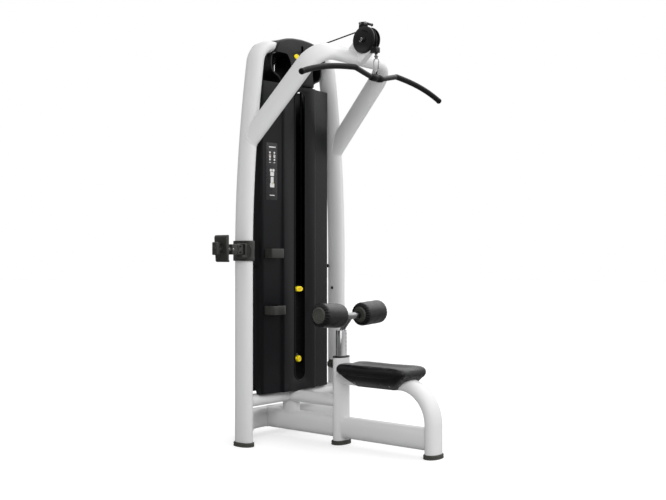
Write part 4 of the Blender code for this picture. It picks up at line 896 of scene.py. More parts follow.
def build_bar():
    right = [tuple(p) for p in spread(bar_half(), 0.004)]
    path = [(-x, z) for x, z in reversed(right[1:])] + right
    parts = [tube("bar_core", [(x, BAR_Y, z) for x, z in path], 0.0138, BLACK, 32)]
    grip = [(x, z) for x, z in right if x > 0.168]
    parts += bar_grip(-1, grip) + bar_grip(1, grip)
    half = [(0.0, 0.049), (0.0150, 0.049), (0.0165, 0.0475), (0.0172, 0.044), (0.0188, 0.034),
            (0.0195, 0.030),
            (0.0195, 0.0115), (0.0189, 0.0105)]
    sleeve = half + [(r, -h) for r, h in reversed(half)]
    parts.append(lathe("bar_sleeve", sleeve, (0, BAR_Y, BAR_CENTRE_Z), (1, 0, 0), GRIP, 64))
    eye_z = HOOK_BOTTOM + 3 * HOOK_WIRE + 0.0003 - EYE_RADIUS
    turns = [2 * math.pi * i / 40 for i in range(40)]
    ring = [(EYE_RADIUS * math.cos(a), BAR_Y, eye_z + EYE_RADIUS * math.sin(a)) for a in turns]
    parts.append(tube("bar_eye", ring, HOOK_WIRE, STEEL, 16, closed=True))
    boss = [(0, 0.0125), (0.004, 0.0125), (0.0070, 0.0105), (0.0095, 0.004), (0.0105, -0.004), (0, -0.004)]
    parts.append(lathe("eye_boss", boss, (0, BAR_Y, BAR_CENTRE_Z + 0.0128), (0, 0, 1), GRIP, 32))
    place(joined("lat_bar_body", *parts), "bar", "lat_bar")


# ---------------------------------------------------------------- tower
def shroud_outline(front):
    half = [(0.0, SHROUD_FACE_Y), (0.126, SHROUD_FACE_Y), (0.132, 0.300), (0.137, 0.307), (0.146, 0.312),
            (0.2645, 0.323),
            (SIDE_X, 0.335), (SIDE_X, STACK_Y + 0.0097)]
    if not front:
        half = [(x, 2 * STACK_Y - y) for x, y in half[:-1]] + [(SIDE_X, STACK_Y + 0.0103)]
    outline = [(-x, y) for x, y in reversed(half[1:])] + half
    return fillet(outline, 0.008, 4)


def offset(outline, distance):
    """The open path moved to one side."""
    points = [Vector(p) for p in outline]
    made = []
    for i, p in enumerate(points):
        along = (points[min(i + 1, len(points) - 1)] - points[max(i - 1, 0)]).normalized()
        made.append(tuple(p + Vector((-along.y, along.x)) * distance))
    return made


def notch(side):
    """The round notch low in a shroud's side."""
    inner, outer = ((side * SIDE_X + dx, 0.420, 0.256) for dx in (-0.02, 0.02))
    return rod("notch_cut", inner, outer, 0.057, BLACK, 0.0001, 64)


def slot_outline(grow=0.0, steps=18):
    r = SLOT_HALF + grow
    return arc((0, SLOT_HIGH - SLOT_HALF), r, 0, 180, steps) + arc((0, SLOT_LOW + SLOT_HALF), r, 180, 360,
                                                                   steps)


def shroud_shell(name, front):
    outer = shroud_outline(front)
    inner = offset(outer, WALL if front else -WALL)
    middle = plane_xy((SHROUD_LOW + SHROUD_HIGH) / 2)
    shell = slab(name + "_shell", outer + inner[::-1], SHROUD_HIGH - SHROUD_LOW, middle, CHARCOAL)
    cutters = [notch(-1), notch(1)]
    if front:
        cutters.append(slab("slot_cut", slot_outline(), 0.06, plane_xz(SHROUD_FACE_Y), CHARCOAL))
    carved(shell, *cutters)
    bevelled(shell.data, 0.0009, 2, 50)
    return smoothed(shell)


def build_shrouds():
    rim = [(x, SHROUD_FACE_Y + 0.0002, z) for x, z in slot_outline(0.0012, 40)]
    rim = spread(rim + rim[:1], 0.03)[:-1]
    parts = [shroud_shell("front_shroud", True), tube("slot_rim", rim, 0.0032, CHARCOAL, 14, closed=True)]
    place(joined("front_shroud_cover", *parts), "root", "front_shroud")
    parts = [shroud_shell("rear_shroud", False)]
    for x in (-0.062, 0.062):
        line = [(x, 2 * STACK_Y - SHROUD_FACE_Y, z) for z in (SHROUD_LOW + 0.09, SHROUD_HIGH - 0.09)]
        parts.append(tube("rear_rib", spread(line, 0.02), 0.0032, CHARCOAL, 16))
    for x in (-0.238, 0.238):
        for z in (0.34, 1.10, 1.88):
            spot = (x, 2 * STACK_Y - 0.3205, z)
            parts.append(socket_screw("shroud_screw", spot, (0, 1, 0), 0.0055, 0.0022, BLACK))
    place(joined("rear_shroud_cover", *parts), "root", "rear_shroud")


def build_standoffs():
    """The round posts between the shrouds and the uprights, and a screw on each upright's inner face."""
    y, z = 0.388, 0.946
    for side, name in ((-1, "left"), (1, "right")):
        face = side * (UPRIGHT_X - TUBE_THIN)
        reach = face + side * 0.002
        post = rod("standoff", (side * (SIDE_X - 0.002), y, z), (reach, y, z), 0.0055, BLACK)
        head = rod("standoff_head", (reach - side * 0.016, y, z), (reach - side * 0.004, y, z), 0.0105,
                   BLACK, 0.002)
        place(joined("standoff_" + name, post, head), "root")
        place(socket_screw("upright_screw_" + name, (face, 0.358, 0.817), (-side, 0, 0), 0.0085, 0.0035,
                           BLACK), "root")


def head_outline():
    low = 1.9475
    right = [(0.0, 2.204), (0.070, 2.2005), (0.125, 2.191), (0.165, 2.177), (0.192, 2.150), (0.206, 2.100),
             (0.212, 2.060), (0.208, 2.022), (0.190, 1.998), (0.154, 1.984), (0.137, 1.968), (0.132, low),
             (0.0, low)]
    smooth = fillet(right, 0.02, 4)
    return smooth + [(-x, z) for x, z in reversed(smooth[1:-1])]


def head_cutters(side):
    """A front window, and the room for the upright and its tip."""
    window = [(0.250, 2.106), (0.122, 2.106), (0.100, 2.078), (0.086, 2.040), (0.090, 1.998), (0.102, 1.93),
              (0.270, 1.93)]
    outline = fillet([(side * x, z) for x, z in window], 0.014, 5, True)
    room = (TUBE_THIN + 0.0012, TUBE_WIDE + 0.0012, plane_xz(TOWER_Y))
    tip = flat_rings([(side * 0.10, TIP_Z), (side * 0.30, TIP_Z)], *room)
    return [slab("window_cut", outline, 0.08, plane_xz(HEAD_FRONT), DARK_INNER),
            loft("socket_cut", tip, DARK_INNER),
            loft("upright_cut", flat_rings(upright_path(side), *room), DARK_INNER)]


def build_head_cover():
    depth, middle = HEAD_REAR - HEAD_FRONT, plane_xz((HEAD_FRONT + HEAD_REAR) / 2)
    shell = slab("head_shell", head_outline(), depth, middle, BLACK)
    bevelled(shell.data, 0.012, 5, 60)
    inner = [(x * 0.955, 2.07 + (z - 2.07) * 0.93) for x, z in head_outline()]
    inner = [(x, z - 0.03 if z < 1.965 else z) for x, z in inner]
    hollow = slab("head_hollow", inner, depth - 0.012, middle, DARK_INNER)
    low, high = (-0.009, HEAD_FRONT - 0.03, 2.098), (0.009, HEAD_FRONT + 0.05, 2.166)
    cable_slot = block("cable_slot_cut", low, high, DARK_INNER, 0.004)
    carved(shell, hollow, *head_cutters(-1), *head_cutters(1), cable_slot, angle=35)
    parts = [shell]
    tip_rim = oval(TUBE_THIN + 0.0036, TUBE_WIDE + 0.0036)
    for x in (-0.171, 0.171):
        ring = [Vector((x, TOWER_Y + v, TIP_Z - 0.001 + u)) for u, v in tip_rim]
        parts.append(tube("tip_rim", ring, 0.0042, BLACK, 14, closed=True))
    spine = [(0.0, HEAD_FRONT - 0.0015, z) for z in (1.965, 2.02, 2.07)]
    parts.append(tube("head_spine", spread(spine, 0.01), 0.0030, BLACK, 12))
    badge = [(-0.046 + x, 2.101 + z) for x, z in oval(0.021, 0.013, 2.0, 40)]
    parts.append(slab("head_badge", badge, 0.0026, plane_xz(0.2792), YELLOW, 0.0008, 2))
    place(joined("head_cover_shell", *parts), "root", "head_cover")


def build_head_works():
    """Beam, cushion, plates and stem keep their plain solids, with rounded edges. The rods are made anew."""
    solids = {"head_beam": IRON, "stack_cushion": CUSHION, "top_plate": IRON}
    solids.update({f"weight_plate_{i + 1:02d}": IRON for i in range(PLATES)})
    solids["selector_stem"] = STEEL
    for name, material in solids.items():
        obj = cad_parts[name]
        obj.data.materials.clear()
        obj.data.materials.append(material)
        soften(obj, 0.0005 if name == "selector_stem" else 0.0022)
    clip_and_painted_highlight = [(0.0096, 0.017), (0.0172, 0.017), (0.0180, 0.016), (0.0180, -0.014), (0.0160, -0.017),
            (0.0096, -0.017)]
    for name, x in (("guide_rod_left", -0.1135), ("guide_rod_right", 0.1135)):
        # The shaft carries painted shade inside the shroud; the chrome sleeve where the rod shows in the head
        # window is its lit copy.
        shaft = rod(name + "_shaft", (x, STACK_Y, ROD_LOW), (x, STACK_Y, ROD_HIGH), 0.0092, ROD_STEEL_PAINTED_SHADE, 0.001,
                    40)
        sleeve = rod(name + "_sleeve", (x, STACK_Y, 1.965), (x, STACK_Y, 2.085), 0.0095, CHROME, 0.0005, 40)
        collar = lathe(name + "_clip", clip_and_painted_highlight, (x, STACK_Y, 2.0975), (0, 0, 1), IRON, 32)
        place(joined(name + "_bar", shaft, sleeve, collar), "root", name)


def soften(obj, width):
    bevel = obj.modifiers.new("soft_edges", "BEVEL")
    bevel.width = width
    bevel.segments = 2
    bevel.limit_method = "ANGLE"
    bevel.angle_limit = math.radians(50)
    bevel.harden_normals = False


def oval_grip(name, z, half_x, half_z, tip_y, body, node_name, grip_y, tag=False):
    """Moulded pull with a crowned face and a dished thumb mark, on a steel pin."""
    levels = ((0.012, 0.60), (0.0105, 0.90), (0.006, 1.0), (-0.004, 1.0), (-0.0085, 0.95), (-0.0105, 0.84),
              (-0.0112, 0.66),
              (-0.0096, 0.58), (-0.0088, 0.40), (-0.0085, 0.10))
    rings = [[Vector((x * grow, grip_y + depth, z + y * grow)) for x, y in oval(half_x, half_z, 2.1, 48)]
             for depth, grow in levels]
    parts = [loft(name + "_cap", rings, YELLOW, angle=60)]
    parts.append(rod(name + "_pin", (0, grip_y + 0.010, z), (0, tip_y, z), 0.0044, STEEL))
    inlay = [(x * 0.56, z + y * 0.50) for x, y in oval(half_x, half_z, 2.1, 40)]
    parts.append(slab(name + "_inlay", inlay, 0.0016, plane_xz(grip_y - 0.0090), AMBER, 0.0005, 2))
    if tag:
        parts.append(rod(name + "_tag", (-0.033, grip_y + 0.003, z + 0.004),
                         (-0.012, grip_y + 0.004, z + 0.002), 0.0058, YELLOW, 0.002))
    place(joined(name + "_pull", *parts), body, node_name)


def build_pins():
    oval_grip("selector", STACK_LOW + (PLATES + 0.5) * PITCH, 0.0275, 0.0152, STACK_Y + 0.006, "pin",
              "selector_pin", GRIP_Y + 0.006)
    z = STACK_LOW + 0.5 * PITCH
    oval_grip("increment", z, 0.0155, 0.0175, STACK_Y - 0.015, "increment", "increment_pin", GRIP_Y + 0.008,
              True)
    place(socket_screw("plate_screw", (0.0235, 0.3396, z + 0.0205), (0, -1, 0), 0.0048, 0.0030, STEEL),
          "root")


FACET_TURN = math.atan2(FACET_RISE, FACET_RUN)


def facet(x, lift):
    """The left facet's frame at x, moved this far out of its face."""
    y = FACET_Y + FACET_RISE * (abs(x) - FACET_X) / FACET_RUN
    frame_of = Matrix.Translation((x, y, 0)) @ Matrix.Rotation(-FACET_TURN, 4, "Z") @ XZ
    return frame_of @ Matrix.Translation((0, 0, lift))


def build_ledges():
    """Two moulded trays: the upper is square, the lower bows out; each is hollow on top."""
    upper = [(-0.256, 0.330), (-0.256, 0.268), (-0.164, 0.262), (-0.164, 0.322)]
    lower = [(-0.258, 0.332), (-0.258, 0.268), (-0.246, 0.258), (-0.208, 0.262), (-0.172, 0.250),
             (-0.152, 0.262), (-0.147, 0.320)]
    for name, outline, low, high in (("upper_ledge", upper, 0.992, 1.042),
                                     ("lower_ledge", lower, 0.687, 0.735)):
        outline = fillet(outline, 0.008 if name == "upper_ledge" else 0.016, 5, True)
        tray = slab(name + "_body", outline, high - low, plane_xy((low + high) / 2), OLIVE, 0.003, 3)
        centre = Vector((sum(p[0] for p in outline) / len(outline),
                         sum(p[1] for p in outline) / len(outline)))
        pocket = [tuple(centre + (Vector(p) - centre) * 0.86) for p in outline]
        carved(tray, slab("tray_pocket", pocket, 0.028, plane_xy(high - 0.002), OLIVE))
        bevelled(tray.data, 0.0010, 2, 60)
        place(tray, "root", name)


def build_placard():
    """Printed film on the left facet: plain bars, discs and a generic figure made of simple shapes."""
    x = -0.207
    low, high = 1.305, 1.615
    rounded = fillet([(-0.040, low), (0.040, low), (0.040, high), (-0.040, high)], 0.006, 4, True)
    parts = [slab("placard_film", rounded, 0.0012, facet(x, 0.0006), FILM, 0.0004, 2)]

    def mark(u, v, half_u, half_v, material, corner=0.0015):
        box = [(u - half_u, v - half_v), (u + half_u, v - half_v), (u + half_u, v + half_v),
               (u - half_u, v + half_v)]
        parts.append(slab("placard_mark", fillet(box, corner, 3, True), 0.0003, facet(x, 0.00135), material))

    def disc(u, v, radius, material):
        ring = arc((u, v), radius, 0, 345, 23)
        parts.append(slab("placard_disc", ring, 0.0003, facet(x, 0.0014), material))

    mark(0.004, 1.592, 0.024, 0.0032, PRINT_WHITE)
    for u, tone in ((-0.013, PRINT_RED), (0.019, PRINT_WHITE)):
        disc(u, 1.562, 0.0056, PRINT_WHITE)
        mark(u, 1.543, 0.0062, 0.0090, PRINT_WHITE)
        mark(u, 1.547, 0.0036, 0.0046, tone)
        mark(u, 1.524, 0.0050, 0.0050, PRINT_WHITE)
        mark(u, 1.508, 0.0056, 0.0018, PRINT_WHITE, 0.0006)
    disc(-0.006, 1.466, 0.0080, PRINT_WHITE)
    disc(0.012, 1.466, 0.0080, PRINT_WHITE)
    mark(0.003, 1.446, 0.0130, 0.0110, PRINT_WHITE, 0.004)
    mark(0.003, 1.412, 0.0100, 0.0180, PRINT_WHITE, 0.003)
    mark(0.003, 1.385, 0.0150, 0.0110, PRINT_WHITE, 0.003)
    mark(0.007, 1.396, 0.0030, 0.0060, YELLOW, 0.001)
    mark(0.003, 1.331, 0.0170, 0.0022, PRINT_WHITE)
    place(joined("placard", *parts), "root")


# ---------------------------------------------------------------- seat and rollers
def inflated(obj, voxel, cap, held, pressure=4.0):
    """The shape blown up as stuffed cloth. Held points stay, and no point moves further than the cap."""
    remesh = obj.modifiers.new("remesh", "REMESH")
    remesh.mode = "VOXEL"
    remesh.voxel_size = voxel
    settled(obj)
    rest = np.array([v.co for v in obj.data.vertices])
    group = obj.vertex_groups.new(name="held")
    group.add([v.index for v in obj.data.vertices if held(v.co)], 1.0, "REPLACE")
    cloth = obj.modifiers.new("cloth", "CLOTH")
    cloth.settings.quality = 4
    cloth.settings.mass = 0.25
    cloth.settings.tension_stiffness = 18
    cloth.settings.compression_stiffness = 18
    cloth.settings.bending_stiffness = 1.2
    cloth.settings.use_pressure = True
    cloth.settings.uniform_pressure_force = pressure
    cloth.settings.effector_weights.gravity = 0
    cloth.settings.vertex_group_mass = "held"
    cloth.collision_settings.use_collision = False
    for step in range(1, 21):
        bpy.context.scene.frame_set(step)
    settled(obj)
    bpy.context.scene.frame_set(1)
    moved = np.array([v.co for v in obj.data.vertices]) - rest
    size = np.linalg.norm(moved, axis=1, keepdims=True)
    rest = rest + moved * np.minimum(1.0, cap / np.maximum(size, 1e-9))
    obj.data.vertices.foreach_set("co", rest.astype(np.float32).ravel())
    obj.data.shade_smooth()
    return obj


def reshaped(obj, move):
    moved = [move(v.co.copy(), v.normal.copy()) for v in obj.data.vertices]
    obj.data.vertices.foreach_set("co", np.array(moved, np.float32).ravel())
    obj.data.update()
    return obj


def subdivided(obj):
    smooth = obj.modifiers.new("finer", "SUBSURF")
    smooth.levels = smooth.render_levels = 1
    settled(obj)
    obj.data.shade_smooth()
    return obj


def rounded_box(half_x, rear, front, corner, steps):
    x, back, fore = half_x - corner, rear - corner, front + corner
    points = arc((x, back), corner, 0, 90, steps) + arc((-x, back), corner, 90, 180, steps)
    return points + arc((-x, fore), corner, 180, 270, steps) + arc((x, fore), corner, 270, 360, steps)


def pad_outline(inset):
    return rounded_box(PAD_HALF_WIDTH - inset, PAD_REAR_Y - inset, PAD_FRONT_Y + inset, PAD_CORNER, 10)


def pad_distance(p):
    """How far inside the pad's outline a point is, in plan."""
    dx = PAD_HALF_WIDTH - abs(p.x)
    dy = min(PAD_REAR_Y - p.y, p.y - PAD_FRONT_Y)
    if dx < PAD_CORNER and dy < PAD_CORNER:
        return PAD_CORNER - math.hypot(PAD_CORNER - dx, PAD_CORNER - dy)
    return min(dx, dy)


def build_seat():
    """A stuffed cover with full round edges, dished along its length, seamed low on its side."""
    half, middle = (PAD_TOP - PAD_BOTTOM) / 2 - 0.002, (PAD_TOP + PAD_BOTTOM) / 2
    rings = []
    for i in range(17):
        a = math.radians(-90 + 180 * i / 16)
        inset = 0.0265 * (1 - max(0.0, math.cos(a)) ** 0.72) + 0.002
        level = math.copysign(abs(math.sin(a)) ** 0.86, a)
        rings.append([Vector((x, y, middle + half * level)) for x, y in pad_outline(inset)])
    pad = loft("seat_pad_cover", rings, VINYL)
    inflated(pad, 0.0048, 0.005, lambda p: p.z < PAD_BOTTOM + 0.004)
    seam_z = PAD_BOTTOM + 0.0150

    def move(p, n):
        inside = pad_distance(p)
        near = math.exp(-((p.z - seam_z) / 0.0020) ** 2) if inside < 0.014 else 0.0
        along = math.atan2(p.x * 2.0, p.y + 0.264)
        pucker = 0.00045 * math.sin(along * 96) * math.exp(-((p.z - seam_z - 0.003) / 0.007) ** 2)
        across = min(1.0, max(0.0, abs(p.x) - 0.022) / 0.056)
        ends = min(1.0, max(0.0, min(PAD_REAR_Y - p.y, p.y - PAD_FRONT_Y) - 0.022) / 0.075)
        lengthwise = ends ** 2 * (3 - 2 * ends)
        dish = 0.0105 * (0.5 + 0.5 * math.cos(math.pi * across)) * lengthwise if n.z > 0.2 else 0.0
        soft = 0.0008 * math.sin(31 * p.y + 9 * p.x) * math.sin(23 * p.x + 5) if n.z > 0.5 else 0.0
        out = p + n * (pucker - 0.0015 * near + soft)
        out.z -= dish * min(1.0, max(0.0, (n.z - 0.2) / 0.6))
        return out

    reshaped(subdivided(pad), move)
    place(pad, "root", "seat_pad")
    stitches = []
    outline = spread(pad_outline(0.0026), 0.001)
    walked, last = 0.0, outline[0]
    for p in outline[1:]:
        walked += (p - last).length
        if walked >= 0.0075:
            along = (p - last).normalized() * 0.0019
            start, end = p - along, p + along
            stitches.append(rod("stitch", (*start, seam_z + 0.0034), (*end, seam_z + 0.0034), 0.00055, BLACK,
                                0.0002, 8))
            walked = 0.0
        last = p
    place(joined("seat_stitches", *stitches), "root")


def tub_ring(half_x, rear, front, corner, z):
    return [Vector((x, y, z)) for x, y in rounded_box(half_x, rear, front, corner, 8)]


def build_seat_shell():
    """Moulded tub under the pad, rolled at the rim and crowned at its sides."""
    rings = []
    for i in range(17):
        t = i / 16
        bulge = 0.0085 * math.sin(math.pi * t) * (1 - 0.3 * t)
        half_x = 0.1125 * (1 - t) + 0.066 * t + bulge
        rear = -0.068 * (1 - t) - 0.150 * t + bulge * 0.5
        front = -0.468 * (1 - t) - 0.405 * t - bulge * 0.5
        z = (PAD_BOTTOM + 0.0085) * (1 - t) + (SHELL_BOTTOM + 0.003) * t
        rings.append(tub_ring(half_x, rear, front, 0.026 - 0.010 * t, z))
    rings.append(tub_ring(0.0645, -0.1515, -0.4035, 0.015, SHELL_BOTTOM + 0.0008))
    rings.append(tub_ring(0.062, -0.154, -0.401, 0.014, SHELL_BOTTOM))
    parts = [loft("seat_tub", rings, BLACK, angle=60)]
    for side in (-1, 1):
        for y in (-0.159, -0.383):
            axis = (side * 0.80, 0, -0.6)
            spot = (side * 0.0805, y, 0.3470)
            parts.append(rod("tub_dish", spot, [a + 0.0028 * b for a, b in zip(spot, axis)], 0.0085, BLACK,
                             0.0006))
            parts.append(socket_screw("tub_screw", [a + 0.0022 * b for a, b in zip(spot, axis)], axis,
                                      0.0066, 0.0040, STEEL))
    place(joined("seat_shell_tub", *parts), "root", "seat_shell")


def build_thigh_post():
    levels = ((POST_BOTTOM, -0.002), (POST_BOTTOM + 0.002, 0.0), (POST_TOP - 0.002, 0.0),
              (POST_TOP - 0.0006, -0.0006),
              (POST_TOP, -0.002))
    post = loft("thigh_tube", [ring_at(z, POST_WIDE + g, POST_THIN + g) for z, g in levels], CHROME)
    cutters = [block("groove_cut", (-0.006, 0.018, 0.1), (0.006, 0.05, 0.58), CHROME, 0.0005)]
    for index in range(5):
        z = 0.50 + 0.022 * index
        cutters.append(rod("setting_cut", (0.017, -0.05, z), (0.017, -0.010, z), 0.0050, DARK_INNER, 0.0001))
    carved(post, *cutters, angle=35)
    neck = [(0, -0.006, POST_TOP - 0.020), (0, -0.009, POST_TOP + 0.002), (0, -0.019, 0.626),
            (0, -0.034, 0.645),
            (0, -0.050, 0.664), (0, AXIS_Y, AXIS_Z - 0.002)]
    smooth = smooth_path(neck, 6)
    count = len(smooth)
    radii = [0.0145 - 0.0008 * math.sin(math.pi * i / (count - 1)) for i in range(count)]
    rise = math.tan(TILT)

    def bent(reach):
        right = [(0.0, AXIS_Y, AXIS_Z), (0.02, AXIS_Y, AXIS_Z + rise * 0.02),
                 (reach, AXIS_Y, AXIS_Z + rise * reach)]
        return [(-x, y, z) for x, y, z in reversed(right[1:])] + right

    cross = tube("cross_tube", spread(smooth_path(bent(ROLLER_INNER - 0.003), 4), 0.004), 0.0180,
                 DARK_CHROME, 40)
    axle = tube("axle_tube", spread(bent(ROLLER_OUTER - 0.010), 0.02), 0.0123, CHROME, 32)
    parts = [post, tube("gooseneck", smooth, radii, CHROME, 40), cross, axle]
    rounds = [(0.0140, POST_TOP - 0.001), (0.0166, POST_TOP + 0.001), (0.0160, POST_TOP + 0.0030),
              (0.0148, POST_TOP + 0.004)]
    parts.append(lathe("neck_weld", [(r, z) for r, z in reversed(rounds)] + [(0.012, POST_TOP - 0.001)],
                       (0, -0.0085, 0), (0, 0, 1), CHROME, 40))
    place(joined("thigh_post_chrome", *parts), "thigh", "thigh_post")


def smooth_path(points, steps):
    """A smooth path through the given points."""
    points = [Vector(p) for p in points]
    points = [points[0] * 2 - points[1]] + points + [points[-1] * 2 - points[-2]]
    made = []
    for a, b, c, d in zip(points, points[1:], points[2:], points[3:]):
        for k in range(steps):
            t = k / steps
            square, cube = 2 * a - 5 * b + 4 * c - d, 3 * b - a - 3 * c + d
            made.append(0.5 * (2 * b + (c - a) * t + square * t * t + cube * t ** 3))
    return made + [points[-2]]


CAP = look("roller_cap", (0.050, 0.050, 0.044), 0.30, vary=0.10, bumps=(GRAIN,), specular=0.45)


def build_roller(name, side, body):
    """Stuffed sleeve gathered round a cap at each end."""
    axis = Vector((side * math.cos(TILT), 0, math.sin(TILT)))
    origin = Vector((0, AXIS_Y, AXIS_Z))
    low, high, r = ROLLER_INNER, ROLLER_OUTER - 0.004, ROLLER_RADIUS - 0.003
    shoulder = [(r - 0.026 + 0.026 * math.cos(a), 0.026 - 0.0205 * math.sin(a))
                for a in (math.radians(11.25 * k) for k in range(9))]
    end = shoulder + [(0.040, 0.006), (0.0, 0.007)]
    profile = [(wide, high - inset) for wide, inset in reversed(end)] + [(wide, low + inset) for wide,
                                                                         inset in end]
    pad = lathe(name + "_pad", profile, origin, axis, VINYL, 96)

    def along(p):
        return (p - origin).dot(axis)

    def around(p):
        return (p - origin - axis * along(p)).length

    inflated(pad, 0.0046, 0.005, lambda p: around(p) < 0.043)
    turn = facing(origin, axis).to_3x3()
    u, v = turn @ Vector((1, 0, 0)), turn @ Vector((0, 1, 0))
    phases = [RANDOM.uniform(0, 6.28) for _ in range(4)]

    def move(p, n):
        h, d = along(p), around(p)
        local = p - origin
        a = math.atan2(local.dot(v), local.dot(u))
        edge = min(high - h, h - low)
        near = max(0.0, 1 - max(0.0, edge - 0.004) / 0.020) * min(1.0, max(0.0, (d - 0.040) / 0.008))
        pleat = 0.5 + 0.5 * math.sin(22 * a + 1.1 * math.sin(3 * a + phases[0]) + phases[1])
        crease = pleat ** 4
        dimple = 0.0006 * math.sin(5 * a + phases[2] + 40 * h) * math.sin(60 * h + phases[3])
        limit = ROLLER_RADIUS + 0.0008
        out = p + n * (near * (0.0010 - 0.0048 * crease) + dimple)
        wide = around(out)
        if wide > limit:
            centre = origin + axis * along(out)
            out = centre + (out - centre) * (limit / wide)
        return out

    reshaped(subdivided(pad), move)
    place(pad, body, name)
    for end, h, out in (("outer", high - 0.0065, 1), ("inner", low + 0.0065, -1)):
        outer = out > 0
        bore = 0.0 if outer else 0.0125
        cap = [(bore, 0.0045), (0.0185, 0.0045), (0.0192, 0.0034), (0.0202, 0.0034), (0.0209, 0.0046),
               (0.0285, 0.0046),
               (0.0292, 0.0036), (0.0300, 0.0040), (0.0308, 0.0064), (0.0330, 0.0070), (0.0360, 0.0062),
               (0.0405, 0.0030),
               (0.0428, 0.0002), (0.0434, -0.0024), (0.0425, -0.0044), (bore, -0.0044)]
        place(lathe(f"{name}_cap_{end}", cap, origin + axis * h, axis * out, CAP, 72), body)


def build_pop_pin():
    start, z = TUBE_THIN + 0.0006, POP_PIN_Z
    knob = [(0, start + 0.052), (0.012, start + 0.052), (0.0185, start + 0.050), (0.0215, start + 0.046),
            (0.0220, start + 0.038),
            (0.0220, start + 0.026), (0.0205, start + 0.020), (0.0150, start + 0.0175), (0, start + 0.0175)]

    def lobes(a, r, h):
        return 0.0009 * math.cos(6 * a) if r > 0.018 else 0.0

    grip = lathe("pop_knob", knob, (0, 0, z), (0, 1, 0), OLIVE, 72, wobble=lobes)
    collar = [(0.0056, start + 0.018), (0.0100, start + 0.018), (0.0110, start + 0.0165),
              (0.0110, start + 0.004),
              (0.0125, start + 0.003), (0.0125, start), (0.0056, start)]
    barrel = lathe("pop_barrel", collar, (0, 0, z), (0, 1, 0), STEEL, 48)
    pin = rod("pop_tip", (0, 0.0205, z), (0, start + 0.020, z), 0.0053, STEEL, 0.001)
    place(joined("pop_pin_knob", grip, barrel, pin), "pop", "pop_pin")


# ---------------------------------------------------------------- device holder
HOLDER_Z, HOLDER_Y = 1.030, TOWER_Y - 0.030
SWIVEL_X, CRADLE_X, CRADLE_Z = -UPRIGHT_X - 0.060, -0.543, HOLDER_Z + 0.008
ARM_LOW, ARM_HIGH = HOLDER_Z - 0.020, HOLDER_Z + 0.034


def build_holder():
    x, low, high = -UPRIGHT_X, HOLDER_Z - 0.053, HOLDER_Z + 0.053
    outer = ((low, 0.0), (low, 0.0082), (low + 0.0015, 0.0098), (low + 0.010, 0.0104), (high - 0.010, 0.0104),
             (high - 0.0015, 0.0098), (high, 0.0082), (high, 0.0))
    rings = [ring_at(z, TUBE_THIN + 0.0004 + g, TUBE_WIDE + 0.0004 + g * 0.85, FRAME_POWER, (x, TOWER_Y))
             for z, g in outer]
    collar = loft("collar_band", rings, OLIVE, closed=True)
    boss = slab("collar_boss", fillet([(x - 0.068, low + 0.014), (x - 0.020, low + 0.014),
                                       (x - 0.020, high - 0.014),
                                       (x - 0.068, high - 0.014)], 0.012, 6, True), 0.048,
                                       plane_xz(HOLDER_Y), OLIVE, 0.006, 4)
    room = block("swivel_cut", (x - 0.10, HOLDER_Y - 0.05, ARM_LOW - 0.001),
                 (x - 0.0435, HOLDER_Y + 0.05, ARM_HIGH + 0.001), DARK_INNER, 0.002)
    keep_out = loft("boss_cut", [ring_at(z, TUBE_THIN + 0.0006, TUBE_WIDE + 0.0006, FRAME_POWER,
                                         (x, TOWER_Y)) for z in (0.9, 1.2)], OLIVE)
    carved(boss, room, keep_out)
    parts = [collar, boss]
    face = Matrix.Translation((x - 0.0285, TOWER_Y - 0.045, HOLDER_Z)) @ Matrix.Rotation(math.radians(-52),
                                                                                         4, "Z") @ XZ
    frame_rim = [(px, pz) for px, pz in oval(0.027, 0.030, 3.2, 48)]
    parts.append(slab("collar_panel", frame_rim, 0.006, face, OLIVE, 0.002, 3))
    parts.append(tube("collar_recess", [face @ Vector((px, pz, 0.0028)) for px, pz in frame_rim], 0.0026,
                      OLIVE, 12, closed=True))
    rim = [(x + dx, TOWER_Y + dy, high - 0.0012) for dx, dy in oval(TUBE_THIN + 0.0092, TUBE_WIDE + 0.0078)]
    parts.append(tube("collar_bead", rim, 0.0014, OLIVE, 10, closed=True))
    place(joined("holder_collar_band", *parts), "root", "holder_collar")
    build_arm()
    build_cradle()


def build_arm():
    y, low, high = HOLDER_Y, ARM_LOW, ARM_HIGH
    beam = block("arm_beam", (CRADLE_X + 0.030, y - 0.0145, low), (SWIVEL_X, y + 0.0145, high), OLIVE, 0.003,
                 3)
    parts = [beam, rod("arm_knuckle", (SWIVEL_X, y, low), (SWIVEL_X, y, high), 0.0147, OLIVE, 0.002, 48)]
    parts.append(block("arm_web", (CRADLE_X, y - 0.011, CRADLE_Z - 0.010),
                       (CRADLE_X + 0.040, y + 0.011, CRADLE_Z + 0.008), OLIVE, 0.002))
    parts.append(rod("arm_lug", (CRADLE_X, y - 0.0115, CRADLE_Z), (CRADLE_X, y + 0.0115, CRADLE_Z), 0.014,
                     OLIVE, 0.0015, 48))
    middle = (low + high) / 2
    face = plane_xz(y - 0.0145)
    cheek = fillet([(-0.478, low + 0.002), (-0.434, low + 0.001), (-0.434, high - 0.001),
                    (-0.478, high - 0.002),
                    (-0.466, middle)], 0.010, 5, True)
    parts.append(slab("arm_cheek", cheek, 0.0060, face, OLIVE, 0.0020, 3))
    # Two dark sheets through the cheek: painted shade standing in for its holes.
    for dz in (-0.0145, 0.0145):
        hole = fillet([(-0.4630, -0.0042), (-0.4480, -0.0042), (-0.4480, 0.0042), (-0.4630, 0.0042)], 0.004,
                      4, True)
        parts.append(slab("arm_hole_painted_shade", [(px, middle + dz + pz) for px, pz in hole], 0.0063, face, DARK_INNER,
                          0.0004, 1))
    parts.append(socket_screw("arm_screw", (CRADLE_X + 0.040, y - 0.0144, middle), (0, -1, 0), 0.0060,
                              0.0026, STEEL))
    place(joined("holder_arm_link", *parts), "arm", "holder_arm")


